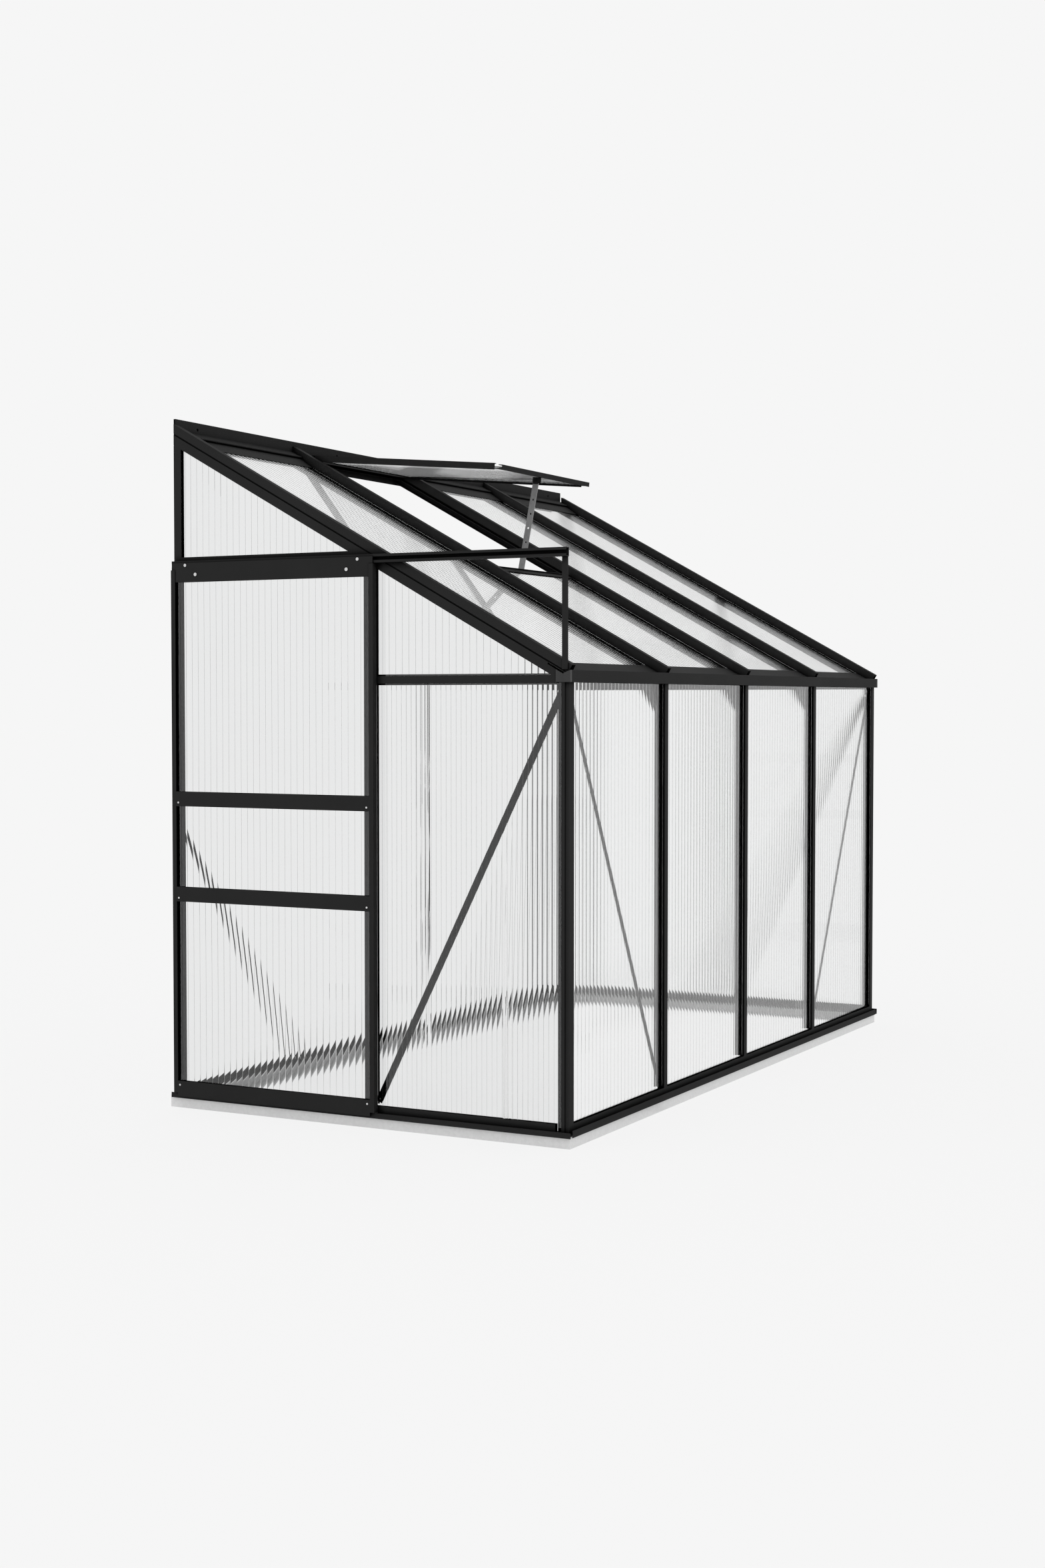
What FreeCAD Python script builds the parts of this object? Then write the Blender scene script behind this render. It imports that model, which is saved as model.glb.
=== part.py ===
import FreeCAD, Part
import math
import os
import re
import Sketcher

V = FreeCAD.Vector

# Lean-to greenhouse: a powder-coated aluminium frame on a low steel plinth, glazed with twin-wall sheet.
# X runs along the house wall, the door gable is at the low X end, the eave is at the low Y side,
# the house wall is at the high Y side and Z is up. The origin is the middle of the plinth at the ground.

doc = FreeCAD.newDocument("LeanToGreenhouse")

# Driving dimensions in millimetres and degrees
SIZES = {
    "plan_length": 2540,
    "plan_depth": 1305,
    "plinth_height": 35,
    "plinth_steel": 2.5,
    "plinth_top_flange": 40,
    "plinth_foot_flange": 62,
    "anchor_hole": 9,
    "anchor_end_gap": 60,
    "anchor_side_gap": 51,
    "front_inset": 6.5,
    "back_inset": 6.5,
    "gable_inset": 5,
    "section_wall": 2,
    "pane_setback": 10,
    "pane_thick": 4,
    "pane_play": 0.3,
    "pane_edge_gap": 1,
    "part_gap": 0.1,
    "bar_flange": 23,
    "bar_web": 5,
    "seat_flange": 30,
    "stem_depth": 36,
    "stem_flange": 20,
    "corner_reach": 31,
    "corner_step": 3,
    "corner_core": 5,
    "corner_groove": 12,
    "corner_stop": 6,
    "corner_tab": 10,
    "corner_leg": 38,
    "sill_rise": 27,
    "wall_sill_rise": 20,
    "wall_sill_inside": 25,
    "sill_inside": 40,
    "lip_reach": 13,
    "lip_drop": 5,
    "lip_rise": 14,
    "lip_back": 3,
    "door_lip_reach": 16,
    "door_lip_rise": 10,
    "eave_height": 1238,
    "gutter_reach": 9,
    "gutter_height": 32,
    "gutter_back": 11,
    "cap_reach": 10,
    "roof_slope": 28.7,
    "glaze_line_in": 9,
    "glaze_line_up": 23,
    "eave_cover": 60,
    "eave_seat": 38,
    "roof_bar_width": 23,
    "roof_bar_rise": 29,
    "roof_bar_lift": 3,
    "roof_bar_drop": 24,
    "roof_bar_start": 5,
    "end_seat_reach": 17,
    "end_bar_short": 6,
    "groove_foot": 1.5,
    "groove_top": 6,
    "groove_deep": 3.5,
    "wall_bar_inset": 18,
    "wall_bar_over": 40,
    "wall_bar_rise": 80,
    "wall_bar_depth": 7,
    "wall_bar_ledge": 30.5,
    "wall_hole": 9,
    "wall_hole_drop": 20,
    "wall_hole_end_gap": 107,
    "hinge_back": 46,
    "hinge_lift": 12,
    "hinge_bead": 4,
    "hinge_play": 0.06,
    "hook_wall": 2.4,
    "nose_half": 1.5,
    "strip_width": 60,
    "strip_height": 7.6,
    "wall_post_foot": 45,
    "wall_post_in": 20,
    "wall_post_flange": 25,
    "wall_post_gap": 13,
    "wall_post_stop": 16.5,
    "gable_rail_height": 21,
    "gable_rail_lift": 8.5,
    "door_post_flange": 32,
    "header_height": 38,
    "header_over": 10.13,
    "door_width": 684,
    "door_lap": 27,
    "door_depth": 20,
    "door_gap": 3.5,
    "door_wall_gap": 18,
    "door_foot": 36,
    "stile_foot": 47,
    "stile_gap": 2,
    "door_skin": 2,
    "stile_flange": 14,
    "stile_inner": 31,
    "stile_ledge": 10,
    "door_pane_depth": 8,
    "cross_rail": 42.5,
    "upper_rail_foot": 883.5,
    "lower_rail_foot": 606.5,
    "rail_web": 4,
    "foot_rail": 46,
    "foot_web": 14,
    "head_height": 55,
    "head_lap": 18,
    "head_plate": 2.5,
    "head_bolt_lift": 21,
    "head_web": 12,
    "track_drop": 36,
    "track_height": 24,
    "track_depth": 18,
    "track_lip": 7,
    "track_end_gap": 17,
    "roller_radius": 9,
    "roller_width": 7,
    "roller_back": 4,
    "roller_play": 0.1,
    "axle_play": 0.05,
    "axle_radius": 3,
    "axle_head": 4.5,
    "roller_inset": 50,
    "head_bolt_inset": 86,
    "screw_radius": 2,
    "screw_head": 2.8,
    "screw_inset": 22,
    "guide_length": 40,
    "guide_drop": 8.5,
    "guide_width": 10,
    "strut_width": 17,
    "strut_thick": 3,
    "strut_gap": 2,
    "strut_in": 2,
    "vent_open": 23.7,
    "vent_run": 708,
    "vent_side_gap": 2.5,
    "vent_half": 10,
    "vent_drop": 6.3,
    "vent_seat": 14,
    "vent_lip": 10,
    "vent_top_rail": 34,
    "vent_front_width": 28,
    "vent_front_drop": 8,
    "vent_front_rise": 6,
    "vent_sill_gap": 13.5,
    "vent_sill_width": 24,
    "vent_sill_rise": 6,
    "stay_back": 39,
    "stay_drop": 19.5,
    "stay_lean": 11,
    "stay_width": 20,
    "stay_thick": 3,
    "stay_length": 294,
    "stay_hole": 7,
    "stay_hole_pitch": 45,
    "peg_run": 282,
    "peg_reach": 26,
    "peg_radius": 3,
    "peg_gap": 0.4,
    "cheek_gap": 0.5,
    "cheek_thick": 2,
    "cheek_start": 24,
    "cheek_end": 50,
    "cheek_margin": 8,
    "peg_plate": 6,
    "brace_width": 15,
    "gable_brace_width": 20,
    "brace_thick": 2,
    "brace_end": 9,
    "bolt_radius": 3,
    "bolt_head": 5,
    "bolt_head_thick": 3,
    "bolt_play": 0.1,
    "gusset_thick": 3,
    "gusset_down": 88,
    "gusset_along": 98,
}

# Sizes that follow from the ones above
DERIVED = {
    "end_bar_line": "plan_length / 2 - gable_inset - roof_bar_width / 2",
    "bay_pitch": "end_bar_line / 2",
    "end_leg_line": "pane_setback + pane_thick + pane_play - roof_bar_width / 2",
    "wall_bar_half": "plan_length / 2 - gable_inset - wall_bar_inset",
    "wall_bar_top": "eave_height + glaze_line_up + wall_bar_over"
                    " + (plan_depth - front_inset - glaze_line_in) * tan(roof_slope)",
    "wall_hole_pitch": "(wall_bar_half - wall_hole_end_gap) / 1.5",
    "wall_hole_height": "wall_bar_top - wall_hole_drop",
    "gable_rail_line": "eave_height + gable_rail_lift",
    "door_post_line": "door_width + door_wall_gap + back_inset - plan_depth / 2 - door_lap",
    "header_top": "eave_height + glaze_line_up + header_over"
                  " + (plan_depth / 2 - front_inset - glaze_line_in - door_post_line) * tan(roof_slope)",
    "strut_foot": "eave_height + gutter_height + strut_gap",
    "track_foot": "header_top - track_drop",
    "stile_top": "track_foot - stile_gap",
    "head_top": "track_foot + head_lap",
    "head_foot": "head_top - head_height",
    "head_bolt_height": "head_foot + head_bolt_lift",
    "stay_line": "bay_pitch / 2",
}

sheet = doc.addObject("Spreadsheet::Sheet", "Sheet")
for row, (size_name, size_value) in enumerate(SIZES.items(), start=1):
    sheet.set("A%d" % row, size_name)
    sheet.set("B%d" % row, str(size_value))
    sheet.setAlias("B%d" % row, size_name)
doc.recompute()

NODES = []


def ex(text):
    """Write derived sizes out in full and point every size name at its cell of the sheet."""

    def full(found):
        name = found.group(0)
        if name in DERIVED:
            return "(" + ex(DERIVED[name]) + ")"
        return "Sheet." + name

    return re.sub(r"[a-z]+(?:_[a-z]+)+", full, text)


def node(piece, label):
    """Name a finished piece and keep it for the STEP files."""
    piece.Label = label
    NODES.append(piece)
    return piece


def place(piece, x="0", y="0", z="0", axis=None, angle=None):
    """Put a piece at bound coordinates, turned by a bound angle about one axis."""
    if axis is not None:
        piece.Placement = FreeCAD.Placement(V(0, 0, 0), FreeCAD.Rotation(V(*axis), 10))
        piece.setExpression("Placement.Rotation.Angle", ex(angle))
    piece.setExpression("Placement.Base.x", ex(x))
    piece.setExpression("Placement.Base.y", ex(y))
    piece.setExpression("Placement.Base.z", ex(z))
    return piece


def plane_of(body, role):
    """One of the body's own origin planes."""
    return [feature for feature in body.Origin.OriginFeatures if feature.Role == role][0]


def sketch(body, role, loops, circles=(), offset=None):
    """Draw closed outlines and circles whose every corner, centre and radius is bound to the sheet."""
    drawing = body.newObject("Sketcher::SketchObject", body.Name + "Sketch")
    drawing.AttachmentSupport = [(plane_of(body, role), "")]
    drawing.MapMode = "FlatFace"
    if offset is not None:
        drawing.setExpression("AttachmentOffset.Base.z", ex(offset))
    bound = []
    for corners in loops:
        first = drawing.GeometryCount
        count = len(corners)
        ring = [V(50 * math.cos(2 * math.pi * i / count), 50 * math.sin(2 * math.pi * i / count), 0)
                for i in range(count)]
        lines = [Part.LineSegment(ring[i], ring[(i + 1) % count]) for i in range(count)]
        drawing.addGeometry(lines, False)
        joints = [Sketcher.Constraint("Coincident", first + i, 2, first + (i + 1) % count, 1)
                  for i in range(count)]
        drawing.addConstraint(joints)
        for i, corner in enumerate(corners):
            bound.append(("DistanceX", first + i, 1, ring[i].x, corner[0]))
            bound.append(("DistanceY", first + i, 1, ring[i].y, corner[1]))
    for centre_x, centre_y, radius in circles:
        index = drawing.addGeometry(Part.Circle(V(3, 4, 0), V(0, 0, 1), 5), False)
        bound.append(("DistanceX", index, 3, 3, centre_x))
        bound.append(("DistanceY", index, 3, 4, centre_y))
        bound.append(("Radius", index, 0, 5, radius))
    for kind, index, point, start, text in bound:
        if kind == "Radius":
            made = drawing.addConstraint(Sketcher.Constraint(kind, index, start))
        else:
            made = drawing.addConstraint(Sketcher.Constraint(kind, -1, 1, index, point, start))
        label = "k%d" % made
        drawing.renameConstraint(made, label)
        drawing.setExpression("Constraints." + label, ex(text))
    drawing.Visibility = False
    return drawing


def new_body(name):
    """Start an empty body."""
    return doc.addObject("PartDesign::Body", name)


def pad(body, role, loops, length, circles=(), offset=None, backwards=False, midplane=False):
    """Raise outlines into a solid along the normal of one origin plane."""
    feature = body.newObject("PartDesign::Pad", body.Name + "Pad")
    feature.Profile = sketch(body, role, loops, circles, offset)
    feature.setExpression("Length", ex(length))
    feature.Reversed = backwards
    feature.Midplane = midplane
    body.Tip = feature
    return feature


def cut(body, role, loops, length, circles=(), offset=None, backwards=False, midplane=False):
    """Remove outlines from the solid along the normal of one origin plane."""
    feature = body.newObject("PartDesign::Pocket", body.Name + "Pocket")
    feature.Profile = sketch(body, role, loops, circles, offset)
    feature.setExpression("Length", ex(length))
    feature.Reversed = backwards
    feature.Midplane = midplane
    body.Tip = feature
    return feature


def box(name, length, width, height):
    """A plain rectangular piece, such as a pane."""
    piece = doc.addObject("Part::Box", name)
    piece.setExpression("Length", ex(length))
    piece.setExpression("Width", ex(width))
    piece.setExpression("Height", ex(height))
    return piece


def group(name, label, pieces):
    """Several separate pieces of one kind, kept as one node."""
    bundle = doc.addObject("Part::Compound", name)
    bundle.Links = pieces
    return node(bundle, label)


def rect(x_low, y_low, x_high, y_high):
    """Corners of a rectangle, anticlockwise."""
    return [(x_low, y_low), (x_high, y_low), (x_high, y_high), (x_low, y_high)]


def flipped(corners, axis):
    """The same outline mirrored across one sketch axis."""
    if axis == "x":
        return [("-(" + x + ")", y) for x, y in corners]
    return [(x, "-(" + y + ")") for x, y in corners]


# Planes and lines that the pieces share
FRONT = "(-(plan_depth / 2 - front_inset))"
WALL = "(plan_depth / 2 - back_inset)"
GABLE = "(plan_length / 2 - gable_inset)"
PANE_BACK = "(pane_setback + pane_thick + pane_play)"
SEAT_BACK = "(pane_setback + pane_thick + pane_play + section_wall)"
SILL_TOP = "(plinth_height + sill_rise)"
GLAZE_Y = "(glaze_line_in - (plan_depth / 2 - front_inset))"
GLAZE_Z = "(eave_height + glaze_line_up)"
ROOF_RUN = "((plan_depth - front_inset - glaze_line_in) / cos(roof_slope))"
ROOF_SEAT = "(pane_thick + pane_play)"
HINGE_S = "(" + ROOF_RUN + " - hinge_back)"
VENT_ANGLE = "(roof_slope - vent_open)"


def roof_y(run, rise):
    """Y of a point given by its distance up the slope and its height square to it."""
    return "(%s + (%s) * cos(roof_slope) - (%s) * sin(roof_slope))" % (GLAZE_Y, run, rise)


def roof_z(run, rise):
    """Z of a point given by its distance up the slope and its height square to it."""
    return "(%s + (%s) * sin(roof_slope) + (%s) * cos(roof_slope))" % (GLAZE_Z, run, rise)


HINGE_Y = roof_y(HINGE_S, "hinge_lift")
HINGE_Z = roof_z(HINGE_S, "hinge_lift")


def under_roof(y_text, depth):
    """Z of the line that runs a given depth under the glazing plane, at one Y."""
    return "(%s + (%s - %s) * tan(roof_slope) - (%s) / cos(roof_slope))" % (GLAZE_Z, y_text, GLAZE_Y, depth)


def glazing_bar(flange):
    """Outline of a glazing bar: outer flange, web, pane seat and inner stem, from the outer face inward."""
    half_web = "bar_web / 2"
    right = [
        (flange + " / 2", "0"),
        (flange + " / 2", "section_wall"),
        (half_web, "section_wall"),
        (half_web, PANE_BACK),
        ("seat_flange / 2", PANE_BACK),
        ("seat_flange / 2", SEAT_BACK),
        (half_web, SEAT_BACK),
        (half_web, "stem_depth - section_wall"),
        ("stem_flange / 2", "stem_depth - section_wall"),
        ("stem_flange / 2", "stem_depth"),
    ]
    left = flipped(right, "x")
    return right + left[::-1]


def turned(corners):
    """The same outline with its two directions exchanged."""
    return [(y, x) for x, y in corners]


# Plinth rails


def plinth_side(name, label, mirror):
    """A long plinth rail: a folded steel channel that opens inward, with two anchor holes in its foot."""
    body = new_body(name)
    channel = [
        ("0", "0"), ("plinth_foot_flange", "0"), ("plinth_foot_flange", "plinth_steel"),
        ("plinth_steel", "plinth_steel"), ("plinth_steel", "plinth_height - plinth_steel"),
        ("plinth_top_flange", "plinth_height - plinth_steel"), ("plinth_top_flange", "plinth_height"),
        ("0", "plinth_height"),
    ]
    outline = flipped(channel, "x") if mirror else channel
    pad(body, "YZ_Plane", [outline], "plan_length - 2 * plinth_steel", midplane=True)
    across = "-anchor_side_gap" if mirror else "anchor_side_gap"
    centres = [(side + "(plan_length / 2 - anchor_end_gap)", across, "anchor_hole / 2") for side in ("-", "")]
    cut(body, "XY_Plane", [], "plinth_steel", circles=centres, backwards=True)
    place(body, "0", "plan_depth / 2" if mirror else "-plan_depth / 2", "0")
    return node(body, label)


def plinth_end(name, side):
    """A plinth rail across one gable, whose web also covers the ends of the long rails."""
    body = new_body(name)
    web = rect("0", "0", "plinth_steel", "plinth_height")
    foot = rect("plinth_steel", "0", "plinth_top_flange", "plinth_steel")
    head = rect("plinth_steel", "plinth_height - plinth_steel", "plinth_top_flange", "plinth_height")
    if side > 0:
        web, foot, head = (flipped(shape, "x") for shape in (web, foot, head))
    pad(body, "XZ_Plane", [web], "plan_depth", midplane=True)
    pad(body, "XZ_Plane", [foot], "plan_depth - 2 * plinth_foot_flange", midplane=True)
    pad(body, "XZ_Plane", [head], "plan_depth - 2 * plinth_top_flange", midplane=True)
    return place(body, "plan_length / 2" if side > 0 else "-plan_length / 2", "0", "0")


plinth_side("PlinthFront", "plinth_front_rail", False)
plinth_side("PlinthWall", "plinth_wall_rail", True)
group("PlinthEnds", "plinth_end_rails", [plinth_end("PlinthDoorEnd", -1), plinth_end("PlinthFarEnd", 1)])


# Sills


def sill_lip(reach, rise):
    """Outer part of a sill: the drip lip and the floor that carries it."""
    return [
        ("-" + reach, "-lip_drop"), ("section_wall - " + reach, "-lip_drop"), ("section_wall - " + reach, "0"),
        ("0", "0"), ("0", "section_wall"), ("section_wall - " + reach, "section_wall"),
        ("section_wall - " + reach, rise), ("-" + reach, rise),
    ]


SILL_INNER = [
    ("0", "0"), ("sill_inside", "0"), ("sill_inside", "section_wall"), (SEAT_BACK, "section_wall"),
    (SEAT_BACK, "sill_rise"), (PANE_BACK, "sill_rise"), (PANE_BACK, "section_wall"),
    ("section_wall", "section_wall"), ("section_wall", "sill_rise"), ("0", "sill_rise"),
]

front_sill = new_body("FrontSill")
pad(front_sill, "YZ_Plane", [sill_lip("lip_reach", "lip_rise")], "plan_length - 2 * gable_inset", midplane=True)
pad(front_sill, "YZ_Plane", [SILL_INNER], "plan_length - 2 * gable_inset - 2 * corner_reach", midplane=True)
place(front_sill, "0", FRONT, "plinth_height")
node(front_sill, "front_sill")


def gable_sill(name, label, side, reach, rise):
    """Sill across one gable: the lip runs past both posts, the inner part fits between them."""
    body = new_body(name)
    lip = sill_lip(reach, rise)
    inner = SILL_INNER
    if side > 0:
        lip = flipped(lip, "x")
        inner = flipped(inner, "x")
    pad(body, "XZ_Plane", [lip], "plan_depth - front_inset - back_inset - lip_back + lip_reach",
        offset="lip_back - wall_post_gap")
    pad(body, "XZ_Plane", [inner],
        "plan_depth - front_inset - back_inset - wall_post_gap - wall_post_flange - sill_inside",
        offset="wall_post_flange")
    place(body, GABLE if side > 0 else "-" + GABLE, WALL + " - wall_post_gap", "plinth_height")
    return node(body, label)


gable_sill("DoorGableSill", "door_gable_sill", -1, "door_lip_reach", "door_lip_rise")
gable_sill("FarGableSill", "far_gable_sill", 1, "lip_reach", "lip_rise")

wall_sill = new_body("WallSill")
pad(wall_sill, "YZ_Plane", [[
    ("0", "0"), ("-wall_sill_inside", "0"), ("-wall_sill_inside", "section_wall"),
    ("-section_wall", "section_wall"),
    ("-section_wall", "wall_sill_rise"), ("0", "wall_sill_rise")]],
    "plan_length - 2 * gable_inset - 2 * wall_post_foot", midplane=True)
place(wall_sill, "0", WALL, "plinth_height")
node(wall_sill, "wall_sill")


# Posts and upright bars

CORNER_POST = [
    ("corner_step", "0"), ("corner_reach", "0"), ("corner_reach", "section_wall"),
    ("corner_step + corner_core", "section_wall"), ("corner_step + corner_core", PANE_BACK),
    ("corner_reach", PANE_BACK), ("corner_reach", SEAT_BACK), (SEAT_BACK, SEAT_BACK),
    (SEAT_BACK, "corner_leg"), (PANE_BACK, "corner_leg"), (PANE_BACK, "corner_groove + corner_stop"),
    ("section_wall", "corner_groove + corner_stop"), ("section_wall", "corner_groove + corner_tab"),
    ("0", "corner_groove + corner_tab"), ("0", "corner_groove"), ("corner_step", "corner_groove"),
]

WALL_POST_EDGE = "(wall_post_gap + wall_post_flange)"
WALL_POST = [
    ("0", "-wall_post_gap"), ("0", "-" + WALL_POST_EDGE), ("section_wall", "-" + WALL_POST_EDGE),
    ("section_wall", "-(wall_post_gap + wall_post_stop)"), (PANE_BACK, "-(wall_post_gap + wall_post_stop)"),
    (PANE_BACK, "-" + WALL_POST_EDGE), (SEAT_BACK, "-" + WALL_POST_EDGE),
    (SEAT_BACK, "-(wall_post_gap + section_wall)"),
    ("wall_post_in + section_wall", "-(wall_post_gap + section_wall)"),
    ("wall_post_in + section_wall", "-section_wall"), ("wall_post_foot", "-section_wall"),
    ("wall_post_foot", "0"), ("wall_post_in", "0"), ("wall_post_in", "-wall_post_gap"),
]
WALL_POST_HOLLOW = rect("section_wall", "-(wall_post_gap + wall_post_stop - section_wall)", PANE_BACK,
                        "-(wall_post_gap + section_wall)")


def roof_cut(body, base_y, base_z, depth, reach="plan_depth"):
    """Trim a piece along a line that runs a given depth under the glazing plane."""
    low = "(-%s / 2)" % reach
    high = "(%s / 2)" % reach

    def line(y_text):
        return "(%s - %s)" % (under_roof("(%s + %s)" % (base_y, y_text), depth), base_z)

    cut(body, "YZ_Plane", [[(low, line(low)), (high, line(high)), (high, line(high) + " + 900"),
                            (low, line(low) + " + 900")]], "4 * plan_depth", midplane=True)


def corner_post(name, label, side):
    """Post at an eave corner, from the plinth to the gutter floor."""
    body = new_body(name)
    outline = flipped(CORNER_POST, "x") if side > 0 else CORNER_POST
    pad(body, "XY_Plane", [outline], "eave_height - plinth_height")
    place(body, GABLE if side > 0 else "-" + GABLE, FRONT, "plinth_height")
    return node(body, label)


def wall_post(name, label, side):
    """Post beside the house wall, trimmed under the sloping bar and the wall bar."""
    body = new_body(name)
    outline = WALL_POST
    hollow = WALL_POST_HOLLOW
    if side > 0:
        outline = flipped(outline, "x")
        hollow = flipped(hollow, "x")
    pad(body, "XY_Plane", [outline, hollow], "wall_bar_top - wall_bar_rise - plinth_height")
    roof_cut(body, WALL, "plinth_height", "roof_bar_drop", "8 * door_post_flange")
    place(body, GABLE if side > 0 else "-" + GABLE, WALL, "plinth_height")
    return node(body, label)


def gable_post(name, label, side):
    """Intermediate gable post, from the sill up to the sloping bar."""
    body = new_body(name)
    outline = turned(glazing_bar("door_post_flange"))
    if side > 0:
        outline = flipped(outline, "x")
    pad(body, "XY_Plane", [outline], "header_top - " + SILL_TOP)
    roof_cut(body, "(-door_post_line)", SILL_TOP, "roof_bar_drop", "8 * door_post_flange")
    place(body, GABLE if side > 0 else "-" + GABLE, "-door_post_line", SILL_TOP)
    return node(body, label)


corner_post("CornerPostDoorEnd", "corner_post_door_end", -1)
corner_post("CornerPostFarEnd", "corner_post_far_end", 1)
wall_post("WallPostDoorEnd", "wall_post_door_end", -1)
wall_post("WallPostFarEnd", "wall_post_far_end", 1)

front_bars = []
for index in (-1, 0, 1):
    bar = new_body("FrontBar%d" % (index + 2))
    pad(bar, "XY_Plane", [glazing_bar("bar_flange")], "eave_height - " + SILL_TOP)
    front_bars.append(place(bar, "%d * bay_pitch" % index, FRONT, SILL_TOP))
group("FrontBars", "front_bars", front_bars)

gable_post("DoorPost", "door_post", -1)
gable_post("FarGablePost", "far_gable_post", 1)


# Gable rails

POST_NEAR = "(-(door_post_line + door_post_flange / 2))"
POST_FAR = "(door_post_flange / 2 - door_post_line)"
WALL_POST_Y = "(%s - %s)" % (WALL, WALL_POST_EDGE)
EAVE_BACK_Y = "(%s + eave_seat)" % FRONT


def gable_rail(name, side, flange, centre, low, high, trimmed):
    """Level rail in a gable between two values of Y."""
    body = new_body(name)
    outline = turned(glazing_bar(flange))
    if side > 0:
        outline = flipped(outline, "x")
    pad(body, "XZ_Plane", [outline], "%s - %s" % (high, low))
    if trimmed:
        roof_cut(body, high, centre, "roof_bar_drop", "4 * plan_depth")
    return place(body, GABLE if side > 0 else "-" + GABLE, high, centre)


group("GableRails", "gable_rails", [
    gable_rail("GableRailDoorEnd", -1, "gable_rail_height", "gable_rail_line", EAVE_BACK_Y, POST_NEAR, True),
    gable_rail("GableRailFarFront", 1, "gable_rail_height", "gable_rail_line", EAVE_BACK_Y, POST_NEAR, True),
    gable_rail("GableRailFarWall", 1, "gable_rail_height", "gable_rail_line", POST_FAR, WALL_POST_Y, False),
])
node(gable_rail("HeaderRail", -1, "header_height", "(header_top - header_height / 2)", POST_FAR, WALL_POST_Y,
                True), "door_header_rail")


# Eave gutter


def glaze_rise(along, lift):
    """Height above the eave line of a line parallel to the glazing plane, at one distance from the front."""
    return "(glaze_line_up + (%s - glaze_line_in) * tan(roof_slope) + (%s) / cos(roof_slope))" % (along, lift)


gutter = new_body("EaveGutter")
pad(gutter, "YZ_Plane", [
    [
        ("-gutter_reach", "0"), ("eave_seat", "0"), ("eave_seat", glaze_rise("eave_seat", "-" + ROOF_SEAT)),
        ("gutter_back", glaze_rise("gutter_back", "-" + ROOF_SEAT)),
        ("gutter_back", glaze_rise("gutter_back", "pane_play")),
        ("eave_cover", glaze_rise("eave_cover", "pane_play")),
        ("eave_cover", glaze_rise("eave_cover", "pane_play + section_wall")),
        ("gutter_back - section_wall", glaze_rise("(gutter_back - section_wall)", "pane_play + section_wall")),
        ("gutter_back - section_wall", "section_wall"), ("section_wall - gutter_reach", "section_wall"),
        ("section_wall - gutter_reach", "gutter_height"), ("-gutter_reach", "gutter_height"),
    ],
    [
        ("gutter_back", "section_wall"), ("eave_seat - section_wall", "section_wall"),
        ("eave_seat - section_wall",
         glaze_rise("(eave_seat - section_wall)", "-(" + ROOF_SEAT + " + section_wall)")),
        ("gutter_back", glaze_rise("gutter_back", "-(" + ROOF_SEAT + " + section_wall)")),
    ],
], "plan_length - 2 * gable_inset", midplane=True)
place(gutter, "0", FRONT, "eave_height")
node(gutter, "eave_gutter")


def gutter_cap(name, side):
    """Cap over one end of the gutter: a block over the trough and a thin plate over the eave box."""
    body = new_body(name)
    block = [("-gutter_reach", "0"), ("gutter_back", "0"), ("gutter_back", glaze_rise("gutter_back", "0")),
             ("-gutter_reach", "gutter_height")]
    plate = [("gutter_back", "0"), ("eave_seat", "0"),
             ("eave_seat", glaze_rise("eave_seat", "-" + ROOF_SEAT)),
             ("gutter_back", glaze_rise("gutter_back", "-" + ROOF_SEAT))]
    pad(body, "YZ_Plane", [block], "cap_reach", backwards=side < 0)
    pad(body, "YZ_Plane", [plate], "section_wall", backwards=side < 0)
    return place(body, GABLE if side > 0 else "-" + GABLE, FRONT, "eave_height")


group("GutterCaps", "gutter_end_caps", [gutter_cap("GutterCapDoorEnd", -1), gutter_cap("GutterCapFarEnd", 1)])


# Wall bar

WALL_RISE = "(wall_bar_top - wall_bar_rise)"


def wall_line(back, lift):
    """Height above the wall bar's foot of a line along the glazing plane, at one distance from the wall."""
    return under_roof("(%s - %s)" % (WALL, back), "-(%s)" % lift) + " - " + WALL_RISE


NOSE_BACK = "(%s - %s)" % (WALL, HINGE_Y)
wall_bar = new_body("WallBar")
pad(wall_bar, "YZ_Plane", [
    [
        ("0", "wall_bar_rise"), ("0", "0"), ("-section_wall", "0"),
        ("-section_wall", wall_line("section_wall", "-(" + ROOF_SEAT + " + section_wall)")),
        ("-wall_bar_ledge", wall_line("wall_bar_ledge", "-(" + ROOF_SEAT + " + section_wall)")),
        ("-wall_bar_ledge", wall_line("wall_bar_ledge", "-" + ROOF_SEAT)),
        ("-wall_bar_depth", wall_line("wall_bar_depth", "-" + ROOF_SEAT)),
        ("-wall_bar_depth", wall_line("wall_bar_depth", "hinge_lift - nose_half")),
        ("-" + NOSE_BACK, wall_line(NOSE_BACK, "hinge_lift - nose_half")),
        ("-" + NOSE_BACK, wall_line(NOSE_BACK, "hinge_lift + nose_half")),
        ("-wall_bar_depth", wall_line("wall_bar_depth", "hinge_lift + nose_half")),
        ("-wall_bar_depth", "wall_bar_rise"),
    ],
    [
        ("-section_wall", "wall_bar_rise - section_wall"),
        ("-section_wall", wall_line("section_wall", "section_wall")),
        ("section_wall - wall_bar_depth", wall_line("(wall_bar_depth - section_wall)", "section_wall")),
        ("section_wall - wall_bar_depth", "wall_bar_rise - section_wall"),
    ],
], "2 * wall_bar_half", midplane=True)
pad(wall_bar, "YZ_Plane", [], "2 * wall_bar_half", midplane=True,
    circles=[("-" + NOSE_BACK, wall_line(NOSE_BACK, "hinge_lift"), "hinge_bead")])
notches = []
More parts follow.
